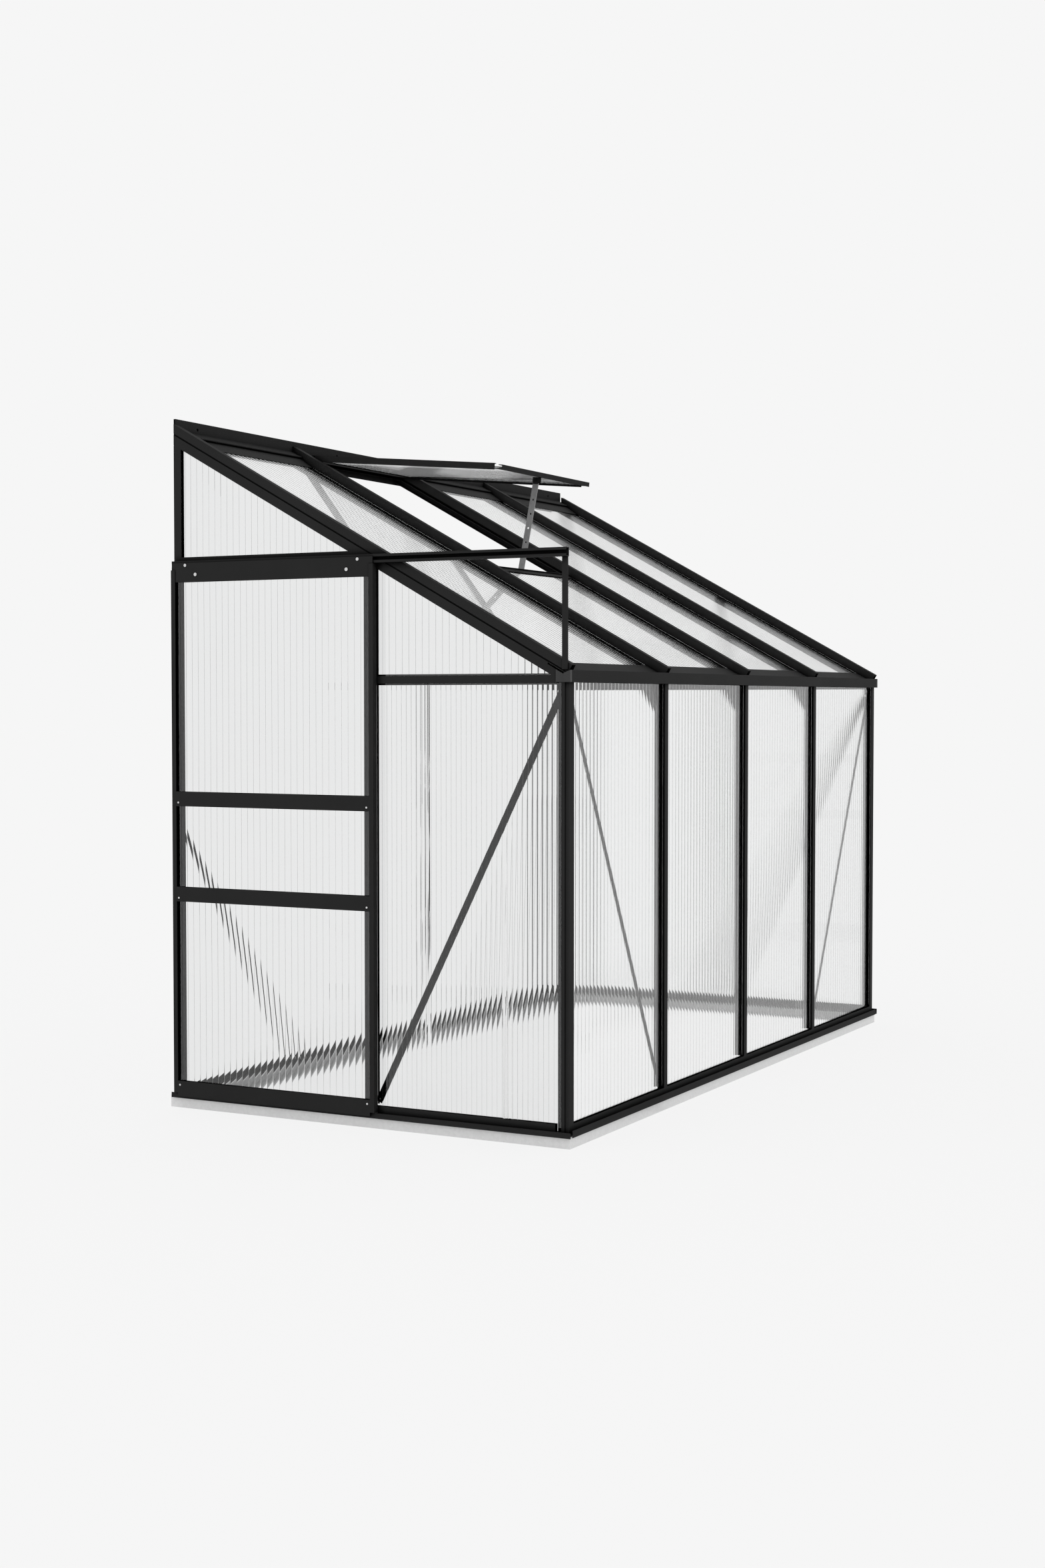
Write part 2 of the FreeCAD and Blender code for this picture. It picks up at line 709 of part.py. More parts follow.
for centre in ("-2 * bay_pitch", "-bay_pitch", "0", "bay_pitch", "2 * bay_pitch"):
    half = "(seat_flange / 2 + part_gap)"
    low = "%s - %s" % (centre, half)
    high = "%s + %s" % (centre, half)
    if centre.startswith("-2"):
        low = "-2 * wall_bar_half"
        high = "-end_bar_line + end_seat_reach + part_gap"
    if centre.startswith("2"):
        low = "end_bar_line - end_seat_reach - part_gap"
        high = "2 * wall_bar_half"
    notches.append(rect(low, "-2 * %s" % NOSE_BACK, high, "-wall_bar_depth"))
cut(wall_bar, "XY_Plane", notches, "8 * wall_bar_rise", midplane=True)
cut(wall_bar, "XZ_Plane", [], "4 * wall_bar_depth", midplane=True,
    circles=[("%s * wall_hole_pitch" % step, "wall_hole_height - " + WALL_RISE, "wall_hole / 2")
             for step in ("-1.5", "-0.5", "0.5", "1.5")])
place(wall_bar, "0", WALL, WALL_RISE)
node(wall_bar, "wall_bar")


# Roof bars


def level_cut(drop_y, rise):
    """Distance up the slope of an upright plane, at one height square to the slope."""
    return "((%s + (%s) * sin(roof_slope)) / cos(roof_slope))" % (drop_y, rise)


FRONT_FACE = "(eave_seat - glaze_line_in)"
BACK_FACE = "(plan_depth - front_inset - back_inset - glaze_line_in - wall_bar_depth)"
CAP_UNDER = "(pane_play + section_wall + part_gap)"
COVER_END = "((eave_cover - glaze_line_in) / cos(roof_slope) + section_wall)"


def box_outline():
    """Outline of a roof bar between two panes, seen from the eave."""
    half = "roof_bar_width / 2"
    right = [
        (half, "roof_bar_rise"), (half, "roof_bar_lift"), ("bar_web / 2", "roof_bar_lift"),
        ("bar_web / 2", "-" + ROOF_SEAT), ("seat_flange / 2", "-" + ROOF_SEAT),
        ("seat_flange / 2", "-(" + ROOF_SEAT + " + section_wall)"),
        ("bar_web / 2", "-(" + ROOF_SEAT + " + section_wall)"),
        ("bar_web / 2", "section_wall - roof_bar_drop"), ("stem_flange / 2", "section_wall - roof_bar_drop"),
        ("stem_flange / 2", "-roof_bar_drop"),
    ]
    return right + flipped(right, "x")[::-1]


END_OUT = "(end_bar_line - (plan_length / 2 - gable_inset))"
END_BAR = [
    (END_OUT, "roof_bar_rise"), (END_OUT, "groove_top"), (END_OUT + " + groove_deep", "groove_top"),
    (END_OUT + " + groove_deep", "groove_foot"), (END_OUT, "groove_foot"), (END_OUT, "-roof_bar_drop"),
    (END_OUT + " + section_wall", "-roof_bar_drop"),
    (END_OUT + " + section_wall", "-(" + ROOF_SEAT + " + section_wall)"),
    ("end_leg_line", "-(" + ROOF_SEAT + " + section_wall)"), ("end_leg_line", "-roof_bar_drop"),
    ("end_leg_line + section_wall", "-roof_bar_drop"),
    ("end_leg_line + section_wall", "-(" + ROOF_SEAT + " + section_wall)"),
    ("end_seat_reach", "-(" + ROOF_SEAT + " + section_wall)"), ("end_seat_reach", "-" + ROOF_SEAT),
    ("bar_web / 2", "-" + ROOF_SEAT), ("bar_web / 2", "roof_bar_lift"),
    ("roof_bar_width / 2", "roof_bar_lift"), ("roof_bar_width / 2", "roof_bar_rise"),
]


def roof_bar(name, label, centre, side):
    """Sloping bar from the gutter to the wall bar; side picks an end bar or, at zero, an inner one."""
    body = new_body(name)
    floor = "groove_top + section_wall" if side else "roof_bar_lift + section_wall"
    back = "(" + BACK_FACE + " - end_bar_short)" if side else BACK_FACE
    hollow = rect("section_wall - roof_bar_width / 2", floor,
                  "roof_bar_width / 2 - section_wall", "roof_bar_rise - section_wall")
    outline = END_BAR if side else box_outline()
    if side > 0:
        outline = flipped(outline, "x")
    pad(body, "XZ_Plane", [outline, hollow], ROOF_RUN + " + 3 * wall_bar_depth", offset="roof_bar_start",
        backwards=True)
    deep = "(-2 * roof_bar_rise)"
    high = "(2 * roof_bar_rise)"
    cut(body, "YZ_Plane", [
        [("-4 * roof_bar_start", deep), (level_cut(FRONT_FACE, deep), deep),
         (level_cut(FRONT_FACE, CAP_UNDER), CAP_UNDER), ("-4 * roof_bar_start", CAP_UNDER)],
    ], "4 * roof_bar_width", midplane=True)
    cut(body, "YZ_Plane", [rect("0", "-" + ROOF_SEAT, COVER_END, CAP_UNDER)], "4 * roof_bar_width",
        midplane=True)
    cut(body, "YZ_Plane", [
        [(level_cut(back, deep), deep), (level_cut(back, high), high),
         (level_cut(back, high) + " + 200", high), (level_cut(back, deep) + " + 200", deep)],
    ], "4 * roof_bar_width", midplane=True)
    place(body, centre, GLAZE_Y, GLAZE_Z, axis=(1, 0, 0), angle="roof_slope")
    return node(body, label)


roof_bar("RoofBarDoorEnd", "roof_bar_1", "-end_bar_line", -1)
roof_bar("RoofBarSecond", "roof_bar_2", "-bay_pitch", 0)
roof_bar("RoofBarMiddle", "roof_bar_3", "0", 0)
roof_bar("RoofBarFourth", "roof_bar_4", "bay_pitch", 0)
roof_bar("RoofBarFarEnd", "roof_bar_5", "end_bar_line", 1)

BAYS = [("-end_bar_line", "-bay_pitch"), ("-bay_pitch", "0"), ("0", "bay_pitch"), ("bay_pitch", "end_bar_line")]

strips = []
for number, (left, right) in enumerate(BAYS, start=1):
    if number == 2:
        continue
    strip = new_body("RoofTopStrip%d" % number)
    margin = "(seat_flange / 2 + part_gap)"
    pad(strip, "YZ_Plane", [[
        ("hinge_bead - strip_width", "pane_play"), ("hinge_bead", "pane_play"), ("hinge_bead", "strip_height"),
        ("-hinge_bead", "strip_height"), ("hinge_bead - strip_width", "pane_play + section_wall")]],
        "(%s) - (%s) - 2 * %s" % (right, left, margin))
    place(strip, "%s + %s" % (left, margin), roof_y(HINGE_S, "0"), roof_z(HINGE_S, "0"),
          axis=(1, 0, 0), angle="roof_slope")
    strips.append(strip)
group("RoofTopStrips", "roof_top_strips", strips)

SILL_S = "(" + HINGE_S + " - vent_run - vent_sill_gap)"
STAY_DOWN = "(vent_run - stay_back)"
PIVOT_Y = "(%s - %s * cos(%s) + stay_drop * sin(%s))" % (HINGE_Y, STAY_DOWN, VENT_ANGLE, VENT_ANGLE)
PIVOT_Z = "(%s - %s * sin(%s) - stay_drop * cos(%s))" % (HINGE_Z, STAY_DOWN, VENT_ANGLE, VENT_ANGLE)
PEG_Y = "(%s + peg_run * sin(stay_lean))" % PIVOT_Y
PEG_Z = "(%s - peg_run * cos(stay_lean))" % PIVOT_Z
PEG_S = "((%s - %s) * cos(roof_slope) + (%s - %s) * sin(roof_slope) - %s)" % (
    PEG_Y, GLAZE_Y, PEG_Z, GLAZE_Z, SILL_S)
PEG_N = "((%s - %s) * cos(roof_slope) - (%s - %s) * sin(roof_slope))" % (PEG_Z, GLAZE_Z, PEG_Y, GLAZE_Y)
vent_sill = new_body("VentSill")
pad(vent_sill, "YZ_Plane", [[
    ("-vent_sill_width", "pane_play"), ("-section_wall", "pane_play"), ("-section_wall", "-" + ROOF_SEAT),
    ("-vent_sill_width", "-" + ROOF_SEAT), ("-vent_sill_width", "-(" + ROOF_SEAT + " + section_wall)"),
    ("0", "-(" + ROOF_SEAT + " + section_wall)"), ("0", "vent_sill_rise"), ("-section_wall", "vent_sill_rise"),
    ("-section_wall", "pane_play + section_wall"), ("-vent_sill_width", "pane_play + section_wall")]],
    "bay_pitch - seat_flange - 2 * part_gap", midplane=True)
PEG_FACE = "(stay_line - bay_pitch / 2 + stay_thick / 2 + peg_gap + peg_reach)"
pad(vent_sill, "YZ_Plane", [[
    ("0", "-(" + ROOF_SEAT + " + section_wall)"), (PEG_S + " + peg_plate", PEG_N + " - peg_plate"),
    (PEG_S + " + peg_plate", PEG_N + " + section_wall"), (PEG_S + " - peg_plate", PEG_N + " + section_wall"),
    ("0", "-section_wall")]], "section_wall", backwards=True,
    offset="-" + PEG_FACE)
pad(vent_sill, "YZ_Plane", [], "peg_reach", circles=[(PEG_S, PEG_N, "peg_radius - peg_gap")],
    offset="-" + PEG_FACE)
place(vent_sill, "-bay_pitch / 2", roof_y(SILL_S, "0"), roof_z(SILL_S, "0"), axis=(1, 0, 0), angle="roof_slope")
node(vent_sill, "vent_sill")


# Door track and its strut

track = new_body("DoorTrack")
pad(track, "XZ_Plane", [[
    ("0", "0"), ("0", "track_height"), ("-track_depth", "track_height"),
    ("-track_depth", "track_height - track_lip"), ("section_wall - track_depth", "track_height - track_lip"),
    ("section_wall - track_depth", "track_height - section_wall"),
    ("-section_wall", "track_height - section_wall"),
    ("-section_wall", "section_wall"), ("section_wall - track_depth", "section_wall"),
    ("section_wall - track_depth", "track_lip"), ("-track_depth", "track_lip"), ("-track_depth", "0")]],
    "plan_depth - front_inset - back_inset - track_end_gap")
place(track, "-" + GABLE, WALL + " - track_end_gap", "track_foot")
node(track, "door_track")

strut = new_body("TrackStrut")
pad(strut, "XY_Plane", [rect("-strut_thick", "0", "0", "strut_width")], "track_foot - strut_foot")
place(strut, "-" + GABLE, FRONT + " + strut_in", "strut_foot")
node(strut, "track_strut")


# Braces, gussets and the bolts at their ends

bolts = []


def brace(name, role, start, end, level, sense, width="brace_width"):
    """Flat strip between two bolt centres in an upright plane, with a bolt at each end."""
    start_a, start_z = start
    end_a, end_z = end
    run = "(%s - (%s))" % (end_a, start_a)
    rise = "(%s - (%s))" % (end_z, start_z)
    length = "sqrt(%s ^ 2 + %s ^ 2)" % (run, rise)
    body = new_body(name)
    outline = rect("-brace_end", "-%s / 2" % width, length + " + brace_end", "%s / 2" % width)
    holes = [("0", "0", "bolt_radius + bolt_play"), (length, "0", "bolt_radius + bolt_play")]
    backwards = (sense < 0) == (role == "YZ_Plane")
    body_pad = pad(body, role, [outline], "brace_thick", circles=holes, backwards=backwards)
    slope = "atan(%s / %s)" % (rise, run)
    if role == "YZ_Plane":
        place(body, level, start_a, start_z, axis=(1, 0, 0), angle=slope)
    else:
        place(body, start_a, level, start_z, axis=(0, 1, 0), angle="-" + slope)
    for number, (along, up) in enumerate((start, end), start=1):
        fixing = new_body("%sBolt%d" % (name, number))
        pad(fixing, role, [], "brace_thick", circles=[("0", "0", "bolt_radius")], backwards=backwards)
        head_offset = "-brace_thick" if backwards else "brace_thick"
        pad(fixing, role, [], "bolt_head_thick", circles=[("0", "0", "bolt_head")], offset=head_offset,
            backwards=backwards)
        if role == "YZ_Plane":
            place(fixing, level, along, up)
        else:
            place(fixing, along, level, up)
        bolts.append(fixing)
    return body


SEAT_X = "(%s - %s)" % (GABLE, SEAT_BACK)
SEAT_Y = "(%s + %s)" % (FRONT, SEAT_BACK)
EAVE_BOLT = ("(%s + corner_leg - brace_width / 2)" % FRONT, "(eave_height - 2 * brace_width)")
POST_BOLT = ("(%s - brace_width / 2)" % POST_NEAR, "(plinth_height + 3 * brace_width)")
group("GableBraces", "gable_braces", [
    brace("GableBraceDoorEnd", "YZ_Plane", EAVE_BOLT, POST_BOLT, "-" + SEAT_X, 1, "gable_brace_width"),
    brace("GableBraceFarEnd", "YZ_Plane", EAVE_BOLT, POST_BOLT, SEAT_X, -1, "gable_brace_width"),
])
HIGH_BOLT = "(eave_height - brace_width)"
LOW_BOLT = "(plinth_height + 1.5 * brace_width)"
CORNER_X = "(%s - corner_reach + brace_width / 4)" % GABLE
BAR_X = "(bay_pitch + seat_flange / 2 - brace_width / 4)"
group("FrontBraces", "front_braces", [
    brace("FrontBraceDoorEnd", "XZ_Plane", ("-" + CORNER_X, HIGH_BOLT), ("-" + BAR_X, LOW_BOLT), SEAT_Y, 1),
    brace("FrontBraceFarEnd", "XZ_Plane", (BAR_X, LOW_BOLT), (CORNER_X, HIGH_BOLT), SEAT_Y, 1),
])
WALL_FACE = "(%s - section_wall)" % WALL
FOOT_X = "(%s - wall_post_foot + brace_width / 2)" % GABLE
WALL_LOW = "(plinth_height + wall_sill_rise - 2 * brace_width / 5)"
WALL_HIGH = "(%s - %s / 3)" % ("eave_height", "eave_height")
group("WallBraces", "wall_braces", [
    brace("WallBraceDoorEnd", "XZ_Plane", ("-" + FOOT_X, WALL_HIGH), ("-bay_pitch", WALL_LOW), WALL_FACE, -1),
    brace("WallBraceFarEnd", "XZ_Plane", ("bay_pitch", WALL_LOW), (FOOT_X, WALL_HIGH), WALL_FACE, -1),
])


def bar_gusset(name, centre):
    """Upright fin behind a front bar, tucked under the roof bar."""
    body = new_body(name)

    def under(along):
        return glaze_rise(along, "-roof_bar_drop")

    pad(body, "YZ_Plane", [[
        ("stem_depth", "-gusset_down"), ("eave_seat + gusset_along", under("(eave_seat + gusset_along)")),
        ("eave_seat", under("eave_seat")), ("eave_seat", "0"), ("stem_depth", "0")]],
        "gusset_thick", midplane=True)
    return place(body, centre, FRONT, "eave_height")


group("EaveGussets", "eave_gussets", [
    bar_gusset("GussetSecond", "-bay_pitch"),
    bar_gusset("GussetMiddle", "0"),
    bar_gusset("GussetFourth", "bay_pitch"),
])


# Fixed panes

PANE_FOOT = "(plinth_height + section_wall + pane_edge_gap)"
END_EDGE = "(%s - corner_step - corner_core - pane_edge_gap)" % GABLE
WEB_EDGE = "(bar_web / 2 + pane_edge_gap)"
FRONT_EDGES = [("-" + END_EDGE, "(-bay_pitch - %s)" % WEB_EDGE),
               ("(%s - bay_pitch)" % WEB_EDGE, "(-%s)" % WEB_EDGE), (WEB_EDGE, "(bay_pitch - %s)" % WEB_EDGE),
               ("(bay_pitch + %s)" % WEB_EDGE, END_EDGE)]
for number, (left, right) in enumerate(FRONT_EDGES, start=1):
    pane = box("FrontPane%d" % number, "%s - (%s)" % (right, left), "pane_thick",
               "eave_height - pane_edge_gap - " + PANE_FOOT)
    place(pane, left, FRONT + " + pane_setback", PANE_FOOT)
    node(pane, "front_pane_%d" % number)

ROOF_FOOT = "(gutter_back - glaze_line_in + 2 * pane_edge_gap)"
ROOF_EDGE = "(end_bar_line - bar_web / 2 - pane_edge_gap)"
ROOF_EDGES = [("-" + ROOF_EDGE, "(-bay_pitch - %s)" % WEB_EDGE),
              ("(%s - bay_pitch)" % WEB_EDGE, "(-%s)" % WEB_EDGE), (WEB_EDGE, "(bay_pitch - %s)" % WEB_EDGE),
              ("(bay_pitch + %s)" % WEB_EDGE, ROOF_EDGE)]
for number, (left, right) in enumerate(ROOF_EDGES, start=1):
    reach = "%s - back_inset - 2 * wall_bar_depth - %s" % (ROOF_RUN, ROOF_FOOT)
    if number == 2:
        reach = "%s - section_wall - pane_edge_gap - %s" % (SILL_S, ROOF_FOOT)
    pane = box("RoofPane%d" % number, "%s - (%s)" % (right, left), reach, "pane_thick")
    place(pane, left, roof_y(ROOF_FOOT, "-pane_thick"), roof_z(ROOF_FOOT, "-pane_thick"),
          axis=(1, 0, 0), angle="roof_slope")
    node(pane, "roof_pane_%d" % number)

RAIL_TOP = "(gable_rail_line + bar_web / 2 + pane_edge_gap)"
RAIL_UNDER = "(gable_rail_line - bar_web / 2 - pane_edge_gap)"
POST_WEB_NEAR = "(-(door_post_line + bar_web / 2 + pane_edge_gap))"
POST_WEB_FAR = "(bar_web / 2 + pane_edge_gap - door_post_line)"
CORNER_EDGE = "(%s + corner_groove + corner_stop + pane_edge_gap)" % FRONT
WALL_EDGE = "(%s - wall_post_gap - wall_post_stop - pane_edge_gap)" % WALL
PANE_DEPTH = "(%s + section_wall + pane_edge_gap)" % ROOF_SEAT


def gable_pane(name, side, corners):
    """Pane in a gable, drawn in Y and Z."""
    body = new_body(name)
    pad(body, "YZ_Plane", [corners], "pane_thick", backwards=side > 0)
    return place(body, "%s(%s - pane_setback)" % ("" if side > 0 else "-", GABLE), "0", "0")


LOWER_PANE = [
    (CORNER_EDGE, PANE_FOOT), (POST_WEB_NEAR, PANE_FOOT), (POST_WEB_NEAR, RAIL_UNDER),
    (EAVE_BACK_Y + " + pane_edge_gap", RAIL_UNDER),
    (EAVE_BACK_Y + " + pane_edge_gap", "eave_height - pane_edge_gap"),
    (CORNER_EDGE, "eave_height - pane_edge_gap"),
]
UPPER_PANE = [
    (EAVE_BACK_Y + " + pane_edge_gap", RAIL_TOP), (POST_WEB_NEAR, RAIL_TOP),
    (POST_WEB_NEAR, under_roof(POST_WEB_NEAR, PANE_DEPTH)),
    (EAVE_BACK_Y + " + pane_edge_gap", under_roof("(%s + pane_edge_gap)" % EAVE_BACK_Y, PANE_DEPTH)),
]
HEADER_WEB = "(header_top - header_height / 2 + bar_web / 2 + pane_edge_gap)"
HEADER_START = "(%s + (%s - %s + %s / cos(roof_slope)) / tan(roof_slope))" % (
    GLAZE_Y, HEADER_WEB, GLAZE_Z, PANE_DEPTH)
HEADER_PANE = [
    (HEADER_START, HEADER_WEB), (WALL_EDGE, HEADER_WEB), (WALL_EDGE, under_roof(WALL_EDGE, PANE_DEPTH)),
]
node(gable_pane("GablePaneLower", -1, LOWER_PANE), "gable_pane_lower")
node(gable_pane("GablePaneUpper", -1, UPPER_PANE), "gable_pane_upper")
node(gable_pane("HeaderPane", -1, HEADER_PANE), "header_pane")
group("FarGablePanes", "far_gable_panes", [
    gable_pane("FarPaneLowFront", 1, LOWER_PANE),
    gable_pane("FarPaneHighFront", 1, UPPER_PANE),
    gable_pane("FarPaneLowWall", 1, rect(POST_WEB_FAR, PANE_FOOT, WALL_EDGE, RAIL_UNDER)),
    gable_pane("FarPaneHighWall", 1, [
        (POST_WEB_FAR, RAIL_TOP), (WALL_EDGE, RAIL_TOP), (WALL_EDGE, under_roof(WALL_EDGE, PANE_DEPTH)),
        (POST_WEB_FAR, under_roof(POST_WEB_FAR, PANE_DEPTH))]),
])
group("FrameBolts", "frame_bolts", bolts)


# Sliding door

DOOR_X = "(-(%s + door_gap + door_depth))" % GABLE
DOOR_Y = "(%s - door_wall_gap)" % WALL
STILE = [
    ("0", "0"), ("0", "-stile_flange"), ("door_skin", "-stile_flange"), ("door_skin", "-door_skin"),
    ("door_pane_depth + " + ROOF_SEAT, "-door_skin"), ("door_pane_depth + " + ROOF_SEAT, "-stile_ledge"),
    ("door_pane_depth + door_skin + " + ROOF_SEAT, "-stile_ledge"),
    ("door_pane_depth + door_skin + " + ROOF_SEAT, "-door_skin"), ("door_depth - door_skin", "-door_skin"),
    ("door_depth - door_skin", "-stile_inner"), ("door_depth", "-stile_inner"), ("door_depth", "0"),
]
stiles = []
for name, outline, line in (("DoorStileWall", STILE, DOOR_Y),
                            ("DoorStileEave", flipped(STILE, "y"), "(%s - door_width)" % DOOR_Y)):
    stile = new_body(name)
    pad(stile, "XY_Plane", [outline], "stile_top - stile_foot")
    stiles.append(place(stile, DOOR_X, line, "stile_foot"))
group("DoorStiles", "door_stiles", stiles)

LEDGE = "(door_pane_depth + %s)" % ROOF_SEAT
AXLE_RISE = "(track_foot + section_wall + roller_radius + roller_play)"
head = new_body("DoorHeadPlate")
pad(head, "XZ_Plane", [rect("door_skin", "head_foot", "door_skin + head_plate", "head_top")],
    "door_width - 2 * door_skin", offset="door_skin")
pad(head, "XZ_Plane", [[
    ("door_skin + head_plate", "head_foot + head_web"), ("door_depth - door_skin", "head_foot + head_web"),
    ("door_depth - door_skin", "head_foot"), ("door_depth", "head_foot"),
    ("door_depth", "head_foot + head_web + section_wall"),
    ("door_skin + head_plate", "head_foot + head_web + section_wall")]],
    "door_width - 2 * stile_inner", offset="stile_inner")
cut(head, "YZ_Plane", [], "4 * door_depth", midplane=True, circles=[
    ("-roller_inset", AXLE_RISE, "axle_radius + bolt_play"),
    ("roller_inset - door_width", AXLE_RISE, "axle_radius + bolt_play"),
    ("-head_bolt_inset", "head_bolt_height", "axle_radius + bolt_play"),
    ("head_bolt_inset - door_width", "head_bolt_height", "axle_radius + bolt_play")])
place(head, DOOR_X, DOOR_Y, "0")
node(head, "door_head_plate")

RAIL_HOLES = ("-screw_inset", "screw_inset - door_width")


def door_rail(name, foot):
    """Cross rail of the door: outer face, web between two panes and inner ledge."""
    body = new_body(name)
    middle = "(%s + cross_rail / 2)" % foot
    pad(body, "XZ_Plane", [[
        ("0", foot), ("door_skin", foot), ("door_skin", middle + " - rail_web / 2"),
        (LEDGE, middle + " - rail_web / 2"), (LEDGE, foot), (LEDGE + " + door_skin", foot),
        (LEDGE + " + door_skin", foot + " + cross_rail"), (LEDGE, foot + " + cross_rail"),
        (LEDGE, middle + " + rail_web / 2"), ("door_skin", middle + " + rail_web / 2"),
        ("door_skin", foot + " + cross_rail"), ("0", foot + " + cross_rail")]],
        "door_width - 2 * stile_flange", offset="stile_flange")
    pad(body, "XZ_Plane", [rect("door_skin", middle + " - rail_web / 2", LEDGE, middle + " + rail_web / 2")],
        "door_width - 2 * door_skin", offset="door_skin")
    cut(body, "YZ_Plane", [], "door_skin", backwards=True,
        circles=[(hole, foot + " + cross_rail / 4", "screw_radius + bolt_play") for hole in RAIL_HOLES])
    return place(body, DOOR_X, DOOR_Y, "0")


group("DoorMidRails", "door_mid_rails", [
    door_rail("DoorRailUpper", "upper_rail_foot"), door_rail("DoorRailLower", "lower_rail_foot")])

WEB_LOW = "(door_foot + foot_web)"
foot_rail = new_body("DoorBottomRail")
pad(foot_rail, "XZ_Plane", [[
    ("0", "door_foot"), ("door_skin", "door_foot"), ("door_skin", WEB_LOW), (LEDGE + " + door_skin", WEB_LOW),
    (LEDGE + " + door_skin", "door_foot + foot_rail"), (LEDGE, "door_foot + foot_rail"),
    (LEDGE, WEB_LOW + " + rail_web"), ("door_skin", WEB_LOW + " + rail_web"),
    ("door_skin", "door_foot + foot_rail"), ("0", "door_foot + foot_rail")]],
    "door_width - 2 * stile_flange", offset="stile_flange")
pad(foot_rail, "XZ_Plane", [rect("door_skin", WEB_LOW, LEDGE, WEB_LOW + " + rail_web")],
    "door_width - 2 * door_skin", offset="door_skin")
cut(foot_rail, "YZ_Plane", [], "door_skin", backwards=True,
    circles=[(hole, "door_foot + foot_rail * 0.75", "screw_radius + bolt_play") for hole in RAIL_HOLES])
place(foot_rail, DOOR_X, DOOR_Y, "0")
node(foot_rail, "door_bottom_rail")

LOW_WEB = "(lower_rail_foot + cross_rail / 2)"
HIGH_WEB = "(upper_rail_foot + cross_rail / 2)"
WEB_CLEAR = "(rail_web / 2 + pane_edge_gap)"
door_panes = []
for number, (low, high) in enumerate((
        (WEB_LOW + " + rail_web + pane_edge_gap", "%s - %s" % (LOW_WEB, WEB_CLEAR)),
        ("%s + %s" % (LOW_WEB, WEB_CLEAR), "%s - %s" % (HIGH_WEB, WEB_CLEAR)),
        ("%s + %s" % (HIGH_WEB, WEB_CLEAR), "head_foot + head_web - pane_edge_gap")), start=1):
    pane = box("DoorPane%d" % number, "pane_thick", "door_width - 2 * (door_skin + pane_edge_gap)",
               "(%s) - (%s)" % (high, low))
    door_panes.append(place(pane, DOOR_X + " + door_pane_depth",
                            "%s - door_width + door_skin + pane_edge_gap" % DOOR_Y, low))
group("DoorPanes", "door_panes", door_panes)

ROLLER_BACK = "(door_depth - roller_back - roller_width)"
fixings = []
for number, along in enumerate(("-roller_inset", "roller_inset - door_width"), start=1):
    axle = new_body("RollerAxle%d" % number)
    pad(axle, "YZ_Plane", [], "door_skin", circles=[("0", "0", "axle_head")])
    pad(axle, "YZ_Plane", [], "%s + roller_width + roller_play - door_skin" % ROLLER_BACK,
        circles=[("0", "0", "axle_radius")], offset="door_skin")
    pad(axle, "YZ_Plane", [], "door_skin / 2", circles=[("0", "0", "axle_head")],
        offset="%s + roller_width + roller_play" % ROLLER_BACK)
    fixings.append(place(axle, DOOR_X, "%s + (%s)" % (DOOR_Y, along), AXLE_RISE))
for number, along in enumerate(("-head_bolt_inset", "head_bolt_inset - door_width"), start=1):
    clamp = new_body("HeadBolt%d" % number)
    pad(clamp, "YZ_Plane", [], "door_skin", circles=[("0", "0", "bolt_head")])
    pad(clamp, "YZ_Plane", [], "2 * head_plate", circles=[("0", "0", "axle_radius")], offset="door_skin")
    fixings.append(place(clamp, DOOR_X, "%s + (%s)" % (DOOR_Y, along), "head_bolt_height"))
for number, rise in enumerate(("upper_rail_foot + cross_rail / 4", "lower_rail_foot + cross_rail / 4",
                               "door_foot + foot_rail * 0.75"), start=1):
    for side, along in enumerate(RAIL_HOLES, start=1):
        screw = new_body("RailScrew%d%d" % (number, side))
        pad(screw, "YZ_Plane", [], "door_skin", circles=[("0", "0", "screw_radius")])
        pad(screw, "YZ_Plane", [], "door_skin / 2", circles=[("0", "0", "screw_head")], backwards=True)
        fixings.append(place(screw, DOOR_X, "%s + (%s)" % (DOOR_Y, along), rise))
group("DoorBolts", "door_bolts", fixings)

guides = []
for number, line in enumerate(("%s - guide_length" % DOOR_Y, "%s - door_width" % DOOR_Y), start=1):
    guide = box("DoorGuide%d" % number, "guide_width", "guide_length", "guide_drop")
    guides.append(place(guide, "%s + door_depth - guide_width" % DOOR_X, line, "stile_foot - guide_drop"))
group("DoorGuides", "door_bottom_guides", guides)

for number, along in enumerate(("-roller_inset", "roller_inset - door_width"), start=1):
    roller = new_body("DoorRoller%d" % number)
    pad(roller, "YZ_Plane", [], "roller_width",
        circles=[("0", "0", "roller_radius"), ("0", "0", "axle_radius + axle_play")])
    for turn in range(5):
        angle = 72 * turn
        cut(roller, "YZ_Plane", [], "roller_width", backwards=True, circles=[
            ("roller_radius * 0.67 * cos(%d)" % angle, "roller_radius * 0.67 * sin(%d)" % angle, "screw_radius / 2")])
    place(roller, "%s + %s" % (DOOR_X, ROLLER_BACK), "%s + (%s)" % (DOOR_Y, along), AXLE_RISE)
    node(roller, "door_roller_%d" % number)


# Roof vent

VENT_LEFT = "(roof_bar_width / 2 + vent_side_gap - bay_pitch)"
VENT_WIDE = "(bay_pitch - roof_bar_width - 2 * vent_side_gap)"
HOOK_OUT = "(hinge_bead + hinge_play + hook_wall)"


def hinged(piece, x):
    """Place a vent piece drawn from the hinge line, turned to the open rest position."""
    return place(piece, x, HINGE_Y, HINGE_Z, axis=(1, 0, 0), angle=VENT_ANGLE)


